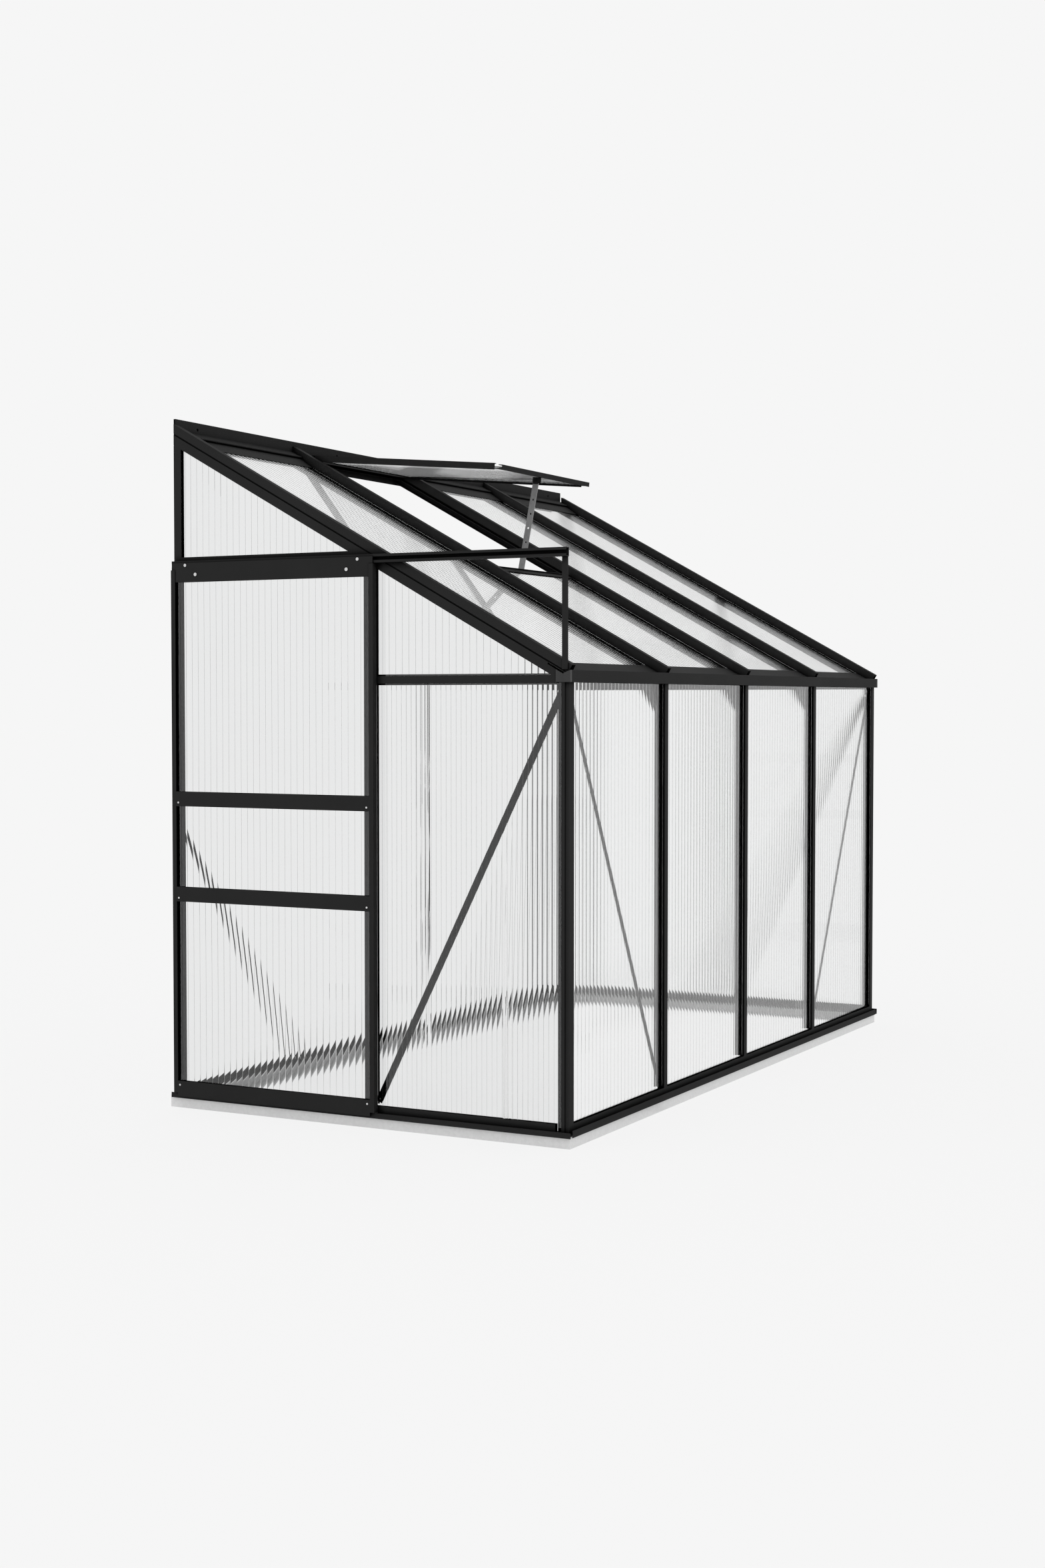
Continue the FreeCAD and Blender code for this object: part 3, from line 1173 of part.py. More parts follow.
hinge_rail = new_body("VentHingeRail")
pad(hinge_rail, "YZ_Plane", [[
    ("-vent_top_rail", "-vent_drop"), ("-%s - section_wall" % HOOK_OUT, "-vent_drop"),
    ("-%s - section_wall" % HOOK_OUT, "-section_wall"), ("-hinge_bead - hinge_play", "-section_wall"),
    ("-hinge_bead - hinge_play", "section_wall"), ("-%s - section_wall" % HOOK_OUT, "section_wall"),
    ("-%s - section_wall" % HOOK_OUT, "vent_half"), ("-vent_top_rail", "vent_half"),
    ("-vent_top_rail", "vent_half - section_wall"),
    ("-%s - 2 * section_wall" % HOOK_OUT, "vent_half - section_wall"),
    ("-%s - 2 * section_wall" % HOOK_OUT, "section_wall - vent_drop"),
    ("-vent_top_rail", "section_wall - vent_drop")]], VENT_WIDE)
pad(hinge_rail, "YZ_Plane", [], VENT_WIDE,
    circles=[("0", "0", HOOK_OUT), ("0", "0", "hinge_bead + hinge_play")])
far = "3 * hinge_bead"
cut(hinge_rail, "YZ_Plane", [[
    ("0", "0"), ("%s * cos(60)" % far, "-%s * sin(60)" % far), ("%s" % far, "-%s" % far), (far, far),
    ("%s * cos(64)" % far, "%s * sin(64)" % far)]], "4 * bay_pitch", midplane=True)
hinged(hinge_rail, VENT_LEFT)
node(hinge_rail, "vent_hinge_rail")

SIDE_RAIL = [
    ("0", "-vent_half"), ("section_wall", "-vent_half"), ("section_wall", "-vent_drop"),
    ("vent_seat", "-vent_drop"),
    ("vent_seat", "section_wall - vent_drop"), ("section_wall", "section_wall - vent_drop"),
    ("section_wall", "vent_half - section_wall"), ("vent_lip", "vent_half - section_wall"),
    ("vent_lip", "vent_half"), ("0", "vent_half"),
]
SIDE_LONG = "(vent_run - vent_front_width - vent_top_rail)"
side_rails = []
for name, outline, line in (("VentSideRailNear", SIDE_RAIL, VENT_LEFT),
                            ("VentSideRailFar", flipped(SIDE_RAIL, "x"), "(%s + %s)" % (VENT_LEFT, VENT_WIDE))):
    rail = new_body(name)
    pad(rail, "XZ_Plane", [outline], SIDE_LONG, offset="vent_top_rail")
    side_rails.append(hinged(rail, line))
group("VentSideRails", "vent_side_rails", side_rails)

front_rail = new_body("VentFrontRail")
pad(front_rail, "YZ_Plane", [[
    ("-vent_run", "-vent_front_drop"), ("section_wall - vent_run", "-vent_front_drop"),
    ("section_wall - vent_run", "-vent_drop"), ("vent_front_width - vent_run", "-vent_drop"),
    ("vent_front_width - vent_run", "section_wall - vent_drop"),
    ("section_wall - vent_run", "section_wall - vent_drop"),
    ("section_wall - vent_run", "vent_front_rise - section_wall"),
    ("vent_seat - vent_run", "vent_front_rise - section_wall"), ("vent_seat - vent_run", "vent_front_rise"),
    ("-vent_run", "vent_front_rise")]], VENT_WIDE)
hinged(front_rail, VENT_LEFT)
node(front_rail, "vent_front_rail")

vent_pane = box("VentPane", "%s - 2 * (section_wall + pane_edge_gap)" % VENT_WIDE,
                "vent_run - section_wall - %s - 2 * section_wall - 2 * pane_edge_gap" % HOOK_OUT, "pane_thick")
VENT_TURN = "(%s)" % VENT_ANGLE
PANE_IN = "(vent_run - section_wall - pane_edge_gap)"
place(vent_pane, "%s + section_wall + pane_edge_gap" % VENT_LEFT,
      "%s - %s * cos%s + pane_thick * sin%s" % (HINGE_Y, PANE_IN, VENT_TURN, VENT_TURN),
      "%s - %s * sin%s - pane_thick * cos%s" % (HINGE_Z, PANE_IN, VENT_TURN, VENT_TURN),
      axis=(1, 0, 0), angle=VENT_ANGLE)
node(vent_pane, "vent_pane")

bracket = new_body("StayBracket")
CHEEK = [
    ("cheek_start - vent_run", "-vent_drop"), ("cheek_end - vent_run", "-vent_drop"),
    ("cheek_end - vent_run", "-stay_drop - cheek_margin / 2"),
    ("stay_back + cheek_margin - vent_run", "-stay_drop - cheek_margin"),
    ("stay_back - cheek_margin - vent_run", "-stay_drop - cheek_margin"),
    ("cheek_start - vent_run", "-stay_drop"),
]
INNER = "(stay_thick / 2 + cheek_gap)"
pad(bracket, "YZ_Plane", [CHEEK], "2 * (%s + cheek_thick)" % INNER, midplane=True)
cut(bracket, "YZ_Plane", [rect("-vent_run", "-3 * stay_drop", "2 * cheek_end - vent_run",
                               "-vent_drop - cheek_thick")], "2 * %s" % INNER, midplane=True)
pad(bracket, "YZ_Plane", [], "2 * (%s + 2 * cheek_thick)" % INNER, midplane=True,
    circles=[("stay_back - vent_run", "-stay_drop", "axle_radius")])
hinged(bracket, "-stay_line")
node(bracket, "stay_bracket")

stay = new_body("VentStay")
pad(stay, "YZ_Plane", [rect("-stay_width / 2", "-stay_length", "stay_width / 2", "0")], "stay_thick",
    midplane=True)
pad(stay, "YZ_Plane", [], "stay_thick", midplane=True, circles=[("0", "0", "stay_width / 2")])
pad(stay, "YZ_Plane", [], "stay_thick", midplane=True, circles=[("0", "-stay_length", "stay_width / 2")])
cut(stay, "YZ_Plane", [], "4 * stay_thick", midplane=True, circles=[("0", "0", "axle_radius + axle_play")])
cut(stay, "YZ_Plane", [], "4 * stay_thick", midplane=True,
    circles=[("0", "-(peg_run - %d * stay_hole_pitch)" % step, "stay_hole / 2") for step in range(6)])
place(stay, "-stay_line", PIVOT_Y, PIVOT_Z, axis=(1, 0, 0), angle="stay_lean")
node(stay, "vent_stay")


# Check every feature, then write one STEP file for each piece

doc.recompute()
for item in doc.Objects:
    if "Invalid" in item.State or "Error" in item.State:
        raise RuntimeError("%s is %s" % (item.Name, item.State))
for piece in NODES:
    if piece.Shape.isNull() or not piece.Shape.isValid() or not piece.Shape.Solids:
        raise RuntimeError("%s has no sound solid" % piece.Label)

os.makedirs("parts", exist_ok=True)
for piece in NODES:
    piece.Shape.exportStep("parts/%s.step" % piece.Label)
print("%d pieces written" % len(NODES))
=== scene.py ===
import math

import bpy
from mathutils import Matrix, Vector


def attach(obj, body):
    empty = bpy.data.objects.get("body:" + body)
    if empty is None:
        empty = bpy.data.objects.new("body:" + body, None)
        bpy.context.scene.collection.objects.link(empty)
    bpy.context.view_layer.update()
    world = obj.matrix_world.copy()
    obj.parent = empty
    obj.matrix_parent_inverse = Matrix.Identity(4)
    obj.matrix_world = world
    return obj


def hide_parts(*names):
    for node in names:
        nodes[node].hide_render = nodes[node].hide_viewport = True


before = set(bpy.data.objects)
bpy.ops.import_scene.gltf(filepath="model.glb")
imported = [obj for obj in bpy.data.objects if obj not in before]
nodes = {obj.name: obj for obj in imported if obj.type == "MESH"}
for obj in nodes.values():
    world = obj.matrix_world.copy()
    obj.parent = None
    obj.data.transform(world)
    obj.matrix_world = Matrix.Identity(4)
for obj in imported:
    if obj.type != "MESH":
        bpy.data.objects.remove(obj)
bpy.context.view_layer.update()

scene = bpy.context.scene

# Camera, at the place and turn of the photograph
CAMERA_PLACE = (-6.29256, -3.14052, 1.18651)
CAMERA_YAW = math.radians(27.636)
CAMERA_PITCH = math.radians(2.215)

camera_data = bpy.data.cameras.new("camera")
camera_data.lens = 48.897
camera_data.sensor_width = 36.0
camera_data.sensor_fit = "AUTO"
camera_data.clip_end = 200.0
camera = bpy.data.objects.new("camera", camera_data)
scene.collection.objects.link(camera)
forward = Vector((
    math.cos(CAMERA_YAW) * math.cos(CAMERA_PITCH),
    math.sin(CAMERA_YAW) * math.cos(CAMERA_PITCH),
    -math.sin(CAMERA_PITCH),
))
camera.location = CAMERA_PLACE
camera.rotation_euler = forward.to_track_quat("-Z", "Y").to_euler()
scene.camera = camera
scene.view_settings.view_transform = "Standard"


# Materials

def new_material(name):
    mat = bpy.data.materials.new(name)
    mat.use_nodes = True
    mat.node_tree.nodes.clear()
    return mat


def add(tree, kind, **values):
    node = tree.nodes.new(kind)
    for key, value in values.items():
        setattr(node, key, value)
    return node


def link(tree, out, into):
    tree.links.new(out, into)


def object_coords(tree):
    return add(tree, "ShaderNodeTexCoord").outputs["Object"]


def group_tree(name, inputs, outputs):
    tree = bpy.data.node_groups.new(name, "ShaderNodeTree")
    for label, kind, value in inputs:
        socket = tree.interface.new_socket(name=label, in_out="INPUT", socket_type=kind)
        if value is not None:
            socket.default_value = value
    for label, kind in outputs:
        tree.interface.new_socket(name=label, in_out="OUTPUT", socket_type=kind)
    return tree, tree.nodes.new("NodeGroupInput"), tree.nodes.new("NodeGroupOutput")


def maths(tree, operation, first, second):
    node = add(tree, "ShaderNodeMath", operation=operation)
    for socket, value in zip(node.inputs, (first, second)):
        if isinstance(value, float):
            socket.default_value = value
        else:
            link(tree, value, socket)
    return node.outputs[0]


def noise(tree, coords, scale, detail=3.0, roughness=0.5):
    node = add(tree, "ShaderNodeTexNoise")
    node.inputs["Scale"].default_value = scale
    node.inputs["Detail"].default_value = detail
    node.inputs["Roughness"].default_value = roughness
    link(tree, coords, node.inputs["Vector"])
    return node.outputs["Fac"]


def between(tree, value, low, high, out_low, out_high):
    node = add(tree, "ShaderNodeMapRange", clamp=True)
    node.inputs["From Min"].default_value = low
    node.inputs["From Max"].default_value = high
    node.inputs["To Min"].default_value = out_low
    node.inputs["To Max"].default_value = out_high
    link(tree, value, node.inputs["Value"])
    return node.outputs["Result"]


def mix_colours(tree, factor, first, second):
    """Mixes two colours; in the mix node, sockets 6 and 7 in and 2 out are those of its colours."""
    node = add(tree, "ShaderNodeMix", data_type="RGBA")
    link(tree, factor, node.inputs[0])
    for socket, value in ((node.inputs[6], first), (node.inputs[7], second)):
        if isinstance(value, tuple):
            socket.default_value = value
        else:
            link(tree, value, socket)
    return node.outputs[2]


def mix_shaders(tree, factor, first, second):
    node = add(tree, "ShaderNodeMixShader")
    for socket, value in zip(node.inputs, (factor, first, second)):
        link(tree, value, socket)
    return node.outputs[0]


def to_surface(tree, shader_socket):
    output = add(tree, "ShaderNodeOutputMaterial")
    link(tree, shader_socket, output.inputs["Surface"])


def grey(level):
    return (level, level, level, 1.0)


def edge_wear_group():
    """A mask that is 1 along sharp edges, broken up by noise."""
    tree, entry, leave = group_tree(
        "edge_wear",
        [("Width", "NodeSocketFloat", 0.002), ("Break Up", "NodeSocketFloat", 60.0)],
        [("Mask", "NodeSocketFloat")],
    )
    coords = object_coords(tree)
    bevel = add(tree, "ShaderNodeBevel", samples=4)
    link(tree, entry.outputs["Width"], bevel.inputs["Radius"])
    facing = add(tree, "ShaderNodeVectorMath", operation="DOT_PRODUCT")
    geometry = add(tree, "ShaderNodeNewGeometry")
    link(tree, bevel.outputs["Normal"], facing.inputs[0])
    link(tree, geometry.outputs["Normal"], facing.inputs[1])
    edge = between(tree, facing.outputs["Value"], 0.75, 0.98, 1.0, 0.0)
    spots = add(tree, "ShaderNodeTexNoise")
    link(tree, entry.outputs["Break Up"], spots.inputs["Scale"])
    link(tree, coords, spots.inputs["Vector"])
    broken = between(tree, spots.outputs["Fac"], 0.42, 0.66, 0.0, 1.0)
    link(tree, maths(tree, "MULTIPLY", edge, broken), leave.inputs["Mask"])
    return tree


EDGE_WEAR = edge_wear_group()


def worn_edges(tree, width, break_up):
    node = add(tree, "ShaderNodeGroup")
    node.node_tree = EDGE_WEAR
    node.inputs["Width"].default_value = width
    node.inputs["Break Up"].default_value = break_up
    return node.outputs["Mask"]


def principled(tree, **values):
    shader = add(tree, "ShaderNodeBsdfPrincipled")
    for label, value in values.items():
        shader.inputs[label.replace("_", " ")].default_value = value
    return shader


def bump(tree, shader, height, strength, distance):
    node = add(tree, "ShaderNodeBump")
    node.inputs["Strength"].default_value = strength
    node.inputs["Distance"].default_value = distance
    link(tree, height, node.inputs["Height"])
    link(tree, node.outputs["Normal"], shader.inputs["Normal"])


def recess_shade_group():
    """A mask for painted shade: it falls to 0 deep inside grooves, behind lips and on faces that look at the
    ground.
    """
    tree, entry, leave = group_tree(
        "recess_shade",
        [("Reach", "NodeSocketFloat", 0.02)],
        [("Mask", "NodeSocketFloat")],
    )
    hollow = add(tree, "ShaderNodeAmbientOcclusion", samples=6)
    link(tree, entry.outputs["Reach"], hollow.inputs["Distance"])
    open_part = between(tree, hollow.outputs["AO"], 0.45, 0.95, 0.0, 1.0)
    upright = add(tree, "ShaderNodeSeparateXYZ")
    link(tree, add(tree, "ShaderNodeNewGeometry").outputs["Normal"], upright.inputs[0])
    lit_part = between(tree, upright.outputs["Z"], -0.6, -0.1, 0.0, 1.0)
    link(tree, maths(tree, "MULTIPLY", open_part, lit_part), leave.inputs["Mask"])
    return tree


RECESS_SHADE = recess_shade_group()


def recess_mask(tree, reach):
    node = add(tree, "ShaderNodeGroup")
    node.node_tree = RECESS_SHADE
    node.inputs["Reach"].default_value = reach
    return node.outputs["Mask"]


RUB_TONE = grey(0.05)
RUB_SHARE = 0.3
RUB_WIDTH = 0.0012
RUB_BREAK_UP = 55.0
# painted shade: the near-black colour put in grooves, behind lips and on faces that look down
PAINTED_RECESS_SHADE = grey(0.0015)
RECESS_REACH = 0.022


def powder_coat(name, dark, light, roughness):
    """Matt powder coat: fine orange peel, soft clouds, painted shade in grooves, behind lips and on faces
    that look down, a little rub along the edges.
    """
    mat = new_material(name)
    tree = mat.node_tree
    shader = principled(tree, IOR=1.5, Specular_IOR_Level=0.03)
    coords = object_coords(tree)
    clouds = noise(tree, coords, 3.5, 4.0, 0.6)
    grain = noise(tree, coords, 900.0, 2.0, 0.5)
    colour = mix_colours(tree, between(tree, clouds, 0.3, 0.7, 0.0, 1.0), dark, light)
    rub = maths(tree, "MULTIPLY", worn_edges(tree, RUB_WIDTH, RUB_BREAK_UP), RUB_SHARE)
    rubbed = mix_colours(tree, rub, colour, RUB_TONE)
    # painted shade from the recess mask darkens grooves, lips and downward faces
    shaded = mix_colours(tree, recess_mask(tree, RECESS_REACH), PAINTED_RECESS_SHADE, rubbed)
    gloss = between(tree, grain, 0.2, 0.8, roughness - 0.06, roughness + 0.08)
    link(tree, shaded, shader.inputs["Base Color"])
    link(tree, gloss, shader.inputs["Roughness"])
    bump(tree, shader, grain, 0.25, 0.0004)
    to_surface(tree, shader.outputs[0])
    return mat


def galvanised(name, dark, light, roughness, metal):
    """Galvanised sheet: pale spangle flakes, brushed a little."""
    mat = new_material(name)
    tree = mat.node_tree
    shader = principled(tree, Metallic=metal)
    coords = object_coords(tree)
    flakes = add(tree, "ShaderNodeTexVoronoi")
    flakes.inputs["Scale"].default_value = 130.0
    link(tree, coords, flakes.inputs["Vector"])
    tone = add(tree, "ShaderNodeSeparateColor")
    link(tree, flakes.outputs["Color"], tone.inputs[0])
    clouds = noise(tree, coords, 5.0, 4.0, 0.6)
    spangle = maths(tree, "MULTIPLY", tone.outputs[0], 0.4)
    mixed = maths(tree, "ADD", spangle, maths(tree, "MULTIPLY", clouds, 0.6))
    gloss = between(tree, mixed, 0.1, 0.9, roughness - 0.08, roughness + 0.1)
    link(tree, mix_colours(tree, mixed, dark, light), shader.inputs["Base Color"])
    link(tree, gloss, shader.inputs["Roughness"])
    bump(tree, shader, mixed, 0.12, 0.0003)
    to_surface(tree, shader.outputs[0])
    return mat


def moulded(name, dark, light, roughness):
    """Moulded nylon with a fine spark-eroded skin."""
    mat = new_material(name)
    tree = mat.node_tree
    shader = principled(tree, IOR=1.53)
    coords = object_coords(tree)
    skin = noise(tree, coords, 1400.0, 2.0, 0.6)
    clouds = noise(tree, coords, 20.0, 3.0, 0.6)
    gloss = between(tree, skin, 0.2, 0.8, roughness - 0.05, roughness + 0.07)
    link(tree, mix_colours(tree, clouds, dark, light), shader.inputs["Base Color"])
    link(tree, gloss, shader.inputs["Roughness"])
    bump(tree, shader, skin, 0.3, 0.0002)
    to_surface(tree, shader.outputs[0])
    return mat


def clear_sheet(name, dark, light):
    """Clear fluted polycarbonate. Light from the lamps passes it, a little dimmed."""
    mat = new_material(name)
    tree = mat.node_tree
    shader = principled(tree, IOR=1.5)
    shader.inputs["Transmission Weight"].default_value = 1.0
    haze = noise(tree, object_coords(tree), 9.0, 4.0, 0.6)
    link(tree, mix_colours(tree, haze, dark, light), shader.inputs["Base Color"])
    link(tree, between(tree, haze, 0.3, 0.7, 0.0, 0.006), shader.inputs["Roughness"])
    clear = add(tree, "ShaderNodeBsdfTransparent")
    clear.inputs["Color"].default_value = grey(0.93)
    path = add(tree, "ShaderNodeLightPath")
    both = mix_shaders(tree, path.outputs["Is Shadow Ray"], shader.outputs[0], clear.outputs[0])
    to_surface(tree, both)
    return mat


BLACK = powder_coat("black_powder_coat", grey(0.0205), grey(0.0240), 0.6)
PLINTH = galvanised("galvanised_plinth", grey(0.70), grey(0.82), 0.5, 0.15)
ZINC = galvanised("zinc_bolts", grey(0.62), grey(0.74), 0.34, 0.9)
ALUMINIUM = galvanised("mill_aluminium", grey(0.24), grey(0.34), 0.42, 0.75)
NYLON = moulded("black_nylon", grey(0.012), grey(0.02), 0.5)
SHEET = clear_sheet("clear_fluted_sheet", (0.935, 0.940, 0.940, 1.0), (0.955, 0.960, 0.960, 1.0))
# painted shade: the near gable's and door's sheets take a darker tint than the same polycarbonate elsewhere
SHADED_GABLE_DARK = (0.860, 0.865, 0.865, 1.0)
SHADED_GABLE_LIGHT = (0.880, 0.885, 0.885, 1.0)
SHADED_GABLE_SHEET = clear_sheet("shaded_gable_sheet", SHADED_GABLE_DARK, SHADED_GABLE_LIGHT)

FINISH = {
    "black_frame": BLACK,
    "plinth_steel": PLINTH,
    "zinc_fixings": ZINC,
    "plain_aluminium": ALUMINIUM,
    "black_nylon": NYLON,
    "clear_sheet": SHEET,
}

for obj in nodes.values():
    for slot in obj.material_slots:
        slot.material = FINISH[slot.material.name.split(".")[0]]


# Modelling helpers

def clear_selection():
    if bpy.context.object and bpy.context.object.mode != "OBJECT":
        bpy.ops.object.mode_set(mode="OBJECT")
    bpy.ops.object.select_all(action="DESELECT")


def take(obj):
    clear_selection()
    obj.select_set(True)
    bpy.context.view_layer.objects.active = obj


def enter_edit(kind="VERT"):
    bpy.ops.object.mode_set(mode="EDIT")
    bpy.ops.mesh.select_mode(type=kind)


def leave_edit():
    bpy.ops.object.mode_set(mode="OBJECT")


def pick(obj, kind, test):
    """Selects the vertices, edges or faces whose centre passes the test, from edit mode."""
    leave_edit()
    mesh = obj.data
    for item in list(mesh.vertices) + list(mesh.edges) + list(mesh.polygons):
        item.select = False
    if kind == "VERT":
        for vertex in mesh.vertices:
            vertex.select = test(vertex.co)
    elif kind == "EDGE":
        for edge in mesh.edges:
            edge.select = test(*(mesh.vertices[i].co for i in edge.vertices))
    else:
        for face in mesh.polygons:
            face.select = test(face.center, face.normal)
    enter_edit(kind)


def apply_all(obj):
    take(obj)
    for modifier in list(obj.modifiers):
        bpy.ops.object.modifier_apply(modifier=modifier.name)


def paint(obj, material):
    obj.data.materials.clear()
    obj.data.materials.append(material)


def node_copy(name, source):
    """A merged copy of a CAD node's mesh."""
    copy = bpy.data.objects.new(name, source.data.copy())
    scene.collection.objects.link(copy)
    copy.data.materials.clear()
    take(copy)
    enter_edit()
    bpy.ops.mesh.select_all(action="SELECT")
    bpy.ops.mesh.remove_doubles(threshold=0.00001)
    leave_edit()
    return copy


# Fluted sheets

FLUTE_COLUMNS = (-0.48, -0.45, -0.41, -0.34, -0.2, 0.0, 0.2, 0.34, 0.41, 0.45, 0.48)
FLUTE_RIB = 0.006
FLUTE_POWER = 8
FLUTE_CREST = 0.025
SHEET_THICK = 0.004
SHEET_PROUD = 0.0004
CREST_SINK = 0.0005
SPARE_LENGTH = 0.02
SPARE_FLUTES = 3
SMOOTH_ANGLE = math.radians(35.0)
FEWEST_POINTS = 50


def flute_height(place, bowl):
    """Height over a flute's middle of the inner face, at a place from -0.5 to 0.5 of the pitch."""
    reach = min(abs(place), 0.5 - FLUTE_CREST)
    rib = FLUTE_RIB * (2.0 * reach) ** (FLUTE_POWER + 1) / (2.0 * FLUTE_POWER + 2.0)
    height = bowl * reach ** 2 + rib
    past = abs(place) - reach
    slope = bowl * 2.0 * reach + FLUTE_RIB * (2.0 * reach) ** FLUTE_POWER
    return height + slope * (past - past * past / (2.0 * FLUTE_CREST))


def fluted_sheet(name, node_name, body, across, outward, pitch, bowl):
    """A sheet with a flat outer face and a scalloped inner face, cut to its CAD pane's outline.

    One flute is shaped from a block, repeated across the pane, closed at both ends and then cut
    by the pane, all in the sheet's own flat frame, before it goes to its place.
    """
    source = nodes[node_name]
    across = Vector(across).normalized()
    outward = Vector(outward).normalized()
    along = outward.cross(across)
    corners = [vertex.co for vertex in source.data.vertices]
    reach = []
    for way in (across, along, outward):
        places = [corner.dot(way) for corner in corners]
        reach.append((min(places), max(places)))
    width = reach[0][1] - reach[0][0]
    length = reach[1][1] - reach[1][0] + SPARE_LENGTH
    count = int(width / pitch) + SPARE_FLUTES

    clear_selection()
    bpy.ops.mesh.primitive_cube_add(size=1.0)
    sheet = bpy.context.object
    sheet.name = name
    sheet.scale = (pitch, length, SHEET_THICK)
    bpy.ops.object.transform_apply(location=True, rotation=True, scale=True)
    enter_edit("EDGE")
    pick(sheet, "EDGE", lambda a, b: a.z < 0 and b.z < 0 and abs(a.y - b.y) < 1e-6)
    bpy.ops.mesh.subdivide(number_cuts=len(FLUTE_COLUMNS))
    for number, column in reversed(list(enumerate(FLUTE_COLUMNS))):
        even = (number + 1.0) / (len(FLUTE_COLUMNS) + 1.0) - 0.5
        pick(sheet, "VERT", lambda co: co.z < 0 and abs(co.x - even * pitch) < 1e-5)
        rise = (flute_height(0.5, bowl) - flute_height(column, bowl)) * pitch
        bpy.ops.transform.translate(value=((column - even) * pitch, 0.0, rise + CREST_SINK))
    pick(sheet, "FACE", lambda centre, normal: abs(normal.x) > 0.99)
    bpy.ops.mesh.delete(type="FACE")
    leave_edit()
    row = sheet.modifiers.new("row", "ARRAY")
    row.count = count
    row.use_relative_offset = False
    row.use_constant_offset = True
    row.constant_offset_displace = (pitch, 0.0, 0.0)
    row.use_merge_vertices = True
    row.merge_threshold = 0.0001
    apply_all(sheet)
    enter_edit("EDGE")
    bpy.ops.mesh.select_all(action="DESELECT")
    bpy.ops.mesh.select_non_manifold()
    bpy.ops.mesh.fill_holes(sides=0)
    bpy.ops.mesh.select_all(action="SELECT")
    bpy.ops.mesh.normals_make_consistent(inside=False)
    leave_edit()

    middle = [(low + high) / 2.0 for low, high in reach]
    start = middle[0] - pitch * (count - 1) / 2.0
    lift = reach[2][1] - SHEET_THICK / 2.0 + SHEET_PROUD
    turn = Matrix((across, along, outward)).transposed()
    place = across * start + along * middle[1] + outward * lift
    home = Matrix.Translation(place) @ turn.to_4x4()
    outline = node_copy("outline", source)
    outline.matrix_world = home.inverted()
    take(outline)
    bpy.ops.object.transform_apply(location=True, rotation=True, scale=True)
    cut = sheet.modifiers.new("outline", "BOOLEAN")
    cut.operation = "INTERSECT"
    cut.solver = "EXACT"
    cut.object = outline
    apply_all(sheet)
    bpy.data.objects.remove(outline)
    sheet.matrix_world = home
    take(sheet)
    bpy.ops.object.transform_apply(location=True, rotation=True, scale=True)
    if len(sheet.data.vertices) < FEWEST_POINTS:
        raise RuntimeError("no sheet was cut for " + node_name)
    bpy.ops.object.shade_smooth_by_angle(angle=SMOOTH_ANGLE)
    # painted shade: sheets that face out of the near gable get the darker copy of the sheet
    paint(sheet, SHADED_GABLE_SHEET if outward.x < -0.5 else SHEET)
    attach(sheet, body)
    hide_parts(node_name)
    return sheet


def main_normal(obj, hint):
    """The normal of the largest flat side of a node, on the side of the hint."""
    facing = [face for face in obj.data.polygons if face.normal.dot(hint) > 0.0]
    largest = max(facing, key=lambda face: face.area).normal.copy()
    total = Vector((0.0, 0.0, 0.0))
    for face in facing:
        if face.normal.dot(largest) > 0.9999:
            total += face.normal * face.area
    return total.normalized()


FRONT_PITCH = 0.0232
GABLE_PITCH = 0.0212
LOWER_PITCH = 0.0157
X_WAY = Vector((1.0, 0.0, 0.0))
Y_WAY = Vector((0.0, 1.0, 0.0))
UP = Vector((0.0, 0.0, 1.0))

FRONT_BOWL = 0.042
ROOF_BOWL = 0.036
GABLE_BOWL = 0.1

for bay in (1, 2, 3, 4):
    front = "front_pane_%d" % bay
    roof = "roof_pane_%d" % bay
    tilt = main_normal(nodes[roof], UP)
    fluted_sheet("fluted_front_sheet_%d" % bay, front, "frame", X_WAY, -Y_WAY, FRONT_PITCH, FRONT_BOWL)
    fluted_sheet("fluted_roof_sheet_%d" % bay, roof, "frame", X_WAY, tilt, FRONT_PITCH, ROOF_BOWL)
tilt = main_normal(nodes["vent_pane"], UP)
fluted_sheet("fluted_vent_sheet", "vent_pane", "vent", X_WAY, tilt, FRONT_PITCH, ROOF_BOWL)

GABLE_SHEETS = (
    ("fluted_lower_sheet", "gable_pane_lower", "frame", -X_WAY, LOWER_PITCH, GABLE_BOWL),
    ("fluted_upper_sheet", "gable_pane_upper", "frame", -X_WAY, GABLE_PITCH, GABLE_BOWL),
    ("fluted_header_sheet", "header_pane", "frame", -X_WAY, GABLE_PITCH, GABLE_BOWL),
    ("fluted_door_sheets", "door_panes", "door", -X_WAY, GABLE_PITCH, GABLE_BOWL),
    ("fluted_far_sheets", "far_gable_panes", "frame", X_WAY, GABLE_PITCH, FRONT_BOWL),
)
for name, pane, body, outward, pitch, bowl in GABLE_SHEETS:
    fluted_sheet(name, pane, body, Y_WAY, outward, pitch, bowl)


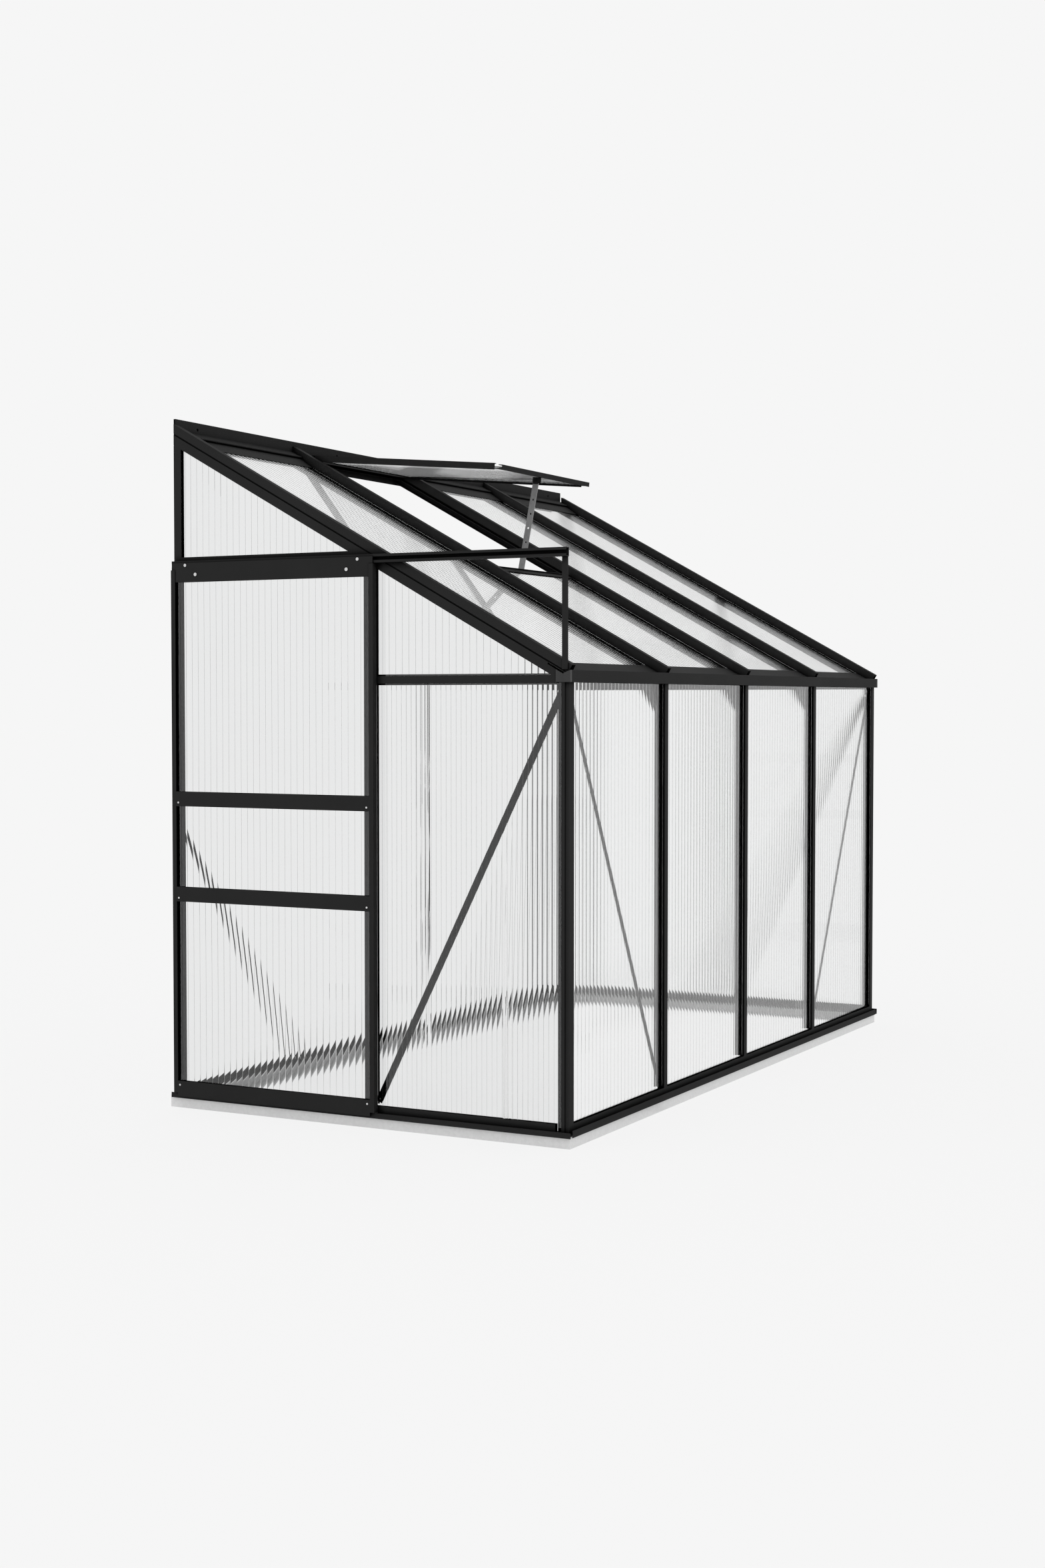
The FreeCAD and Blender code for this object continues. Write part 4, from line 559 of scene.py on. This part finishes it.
# Stage: a pale floor and the light of a bright studio

FLOOR_HALF = 60.0
FLOOR_DROP = 0.0005
BACKDROP = grey(0.9216)
FLOOR_SHADE = 0.08
WHITE = grey(1.0)


def seen_rays(tree):
    """1 for rays from the camera and for rays that a surface mirrors or lets through."""
    rays = add(tree, "ShaderNodeLightPath")
    seen = maths(tree, "MAXIMUM", rays.outputs["Is Camera Ray"], rays.outputs["Is Transmission Ray"])
    return maths(tree, "MAXIMUM", seen, rays.outputs["Is Glossy Ray"])


def studio_floor():
    """A pale floor that shows the backdrop's level and keeps a soft part of the shadow."""
    mat = new_material("studio_floor")
    tree = mat.node_tree
    matt = add(tree, "ShaderNodeBsdfDiffuse")
    matt.inputs["Color"].default_value = BACKDROP
    glow = add(tree, "ShaderNodeEmission")
    glow.inputs["Color"].default_value = BACKDROP
    share = maths(tree, "MULTIPLY", seen_rays(tree), 1.0 - FLOOR_SHADE)
    to_surface(tree, mix_shaders(tree, share, matt.outputs[0], glow.outputs[0]))
    return mat


def background(tree, colour):
    light = add(tree, "ShaderNodeBackground")
    light.inputs["Color"].default_value = colour
    light.inputs["Strength"].default_value = 1.0
    return light.outputs[0]


floor_data = bpy.data.meshes.new("floor")
floor_data.from_pydata(
    [
        (-FLOOR_HALF, -FLOOR_HALF, 0.0),
        (FLOOR_HALF, -FLOOR_HALF, 0.0),
        (FLOOR_HALF, FLOOR_HALF, 0.0),
        (-FLOOR_HALF, FLOOR_HALF, 0.0),
    ],
    [],
    [(0, 1, 2, 3)],
)
floor = bpy.data.objects.new("floor", floor_data)
scene.collection.objects.link(floor)
floor.location.z = -FLOOR_DROP
floor_data.materials.append(studio_floor())

world = bpy.data.worlds.new("studio")
world.use_nodes = True
scene.world = world
world_tree = world.node_tree
world_tree.nodes.clear()
soft = background(world_tree, WHITE)
plain = background(world_tree, BACKDROP)
world_output = add(world_tree, "ShaderNodeOutputWorld")
link(world_tree, mix_shaders(world_tree, seen_rays(world_tree), soft, plain), world_output.inputs["Surface"])
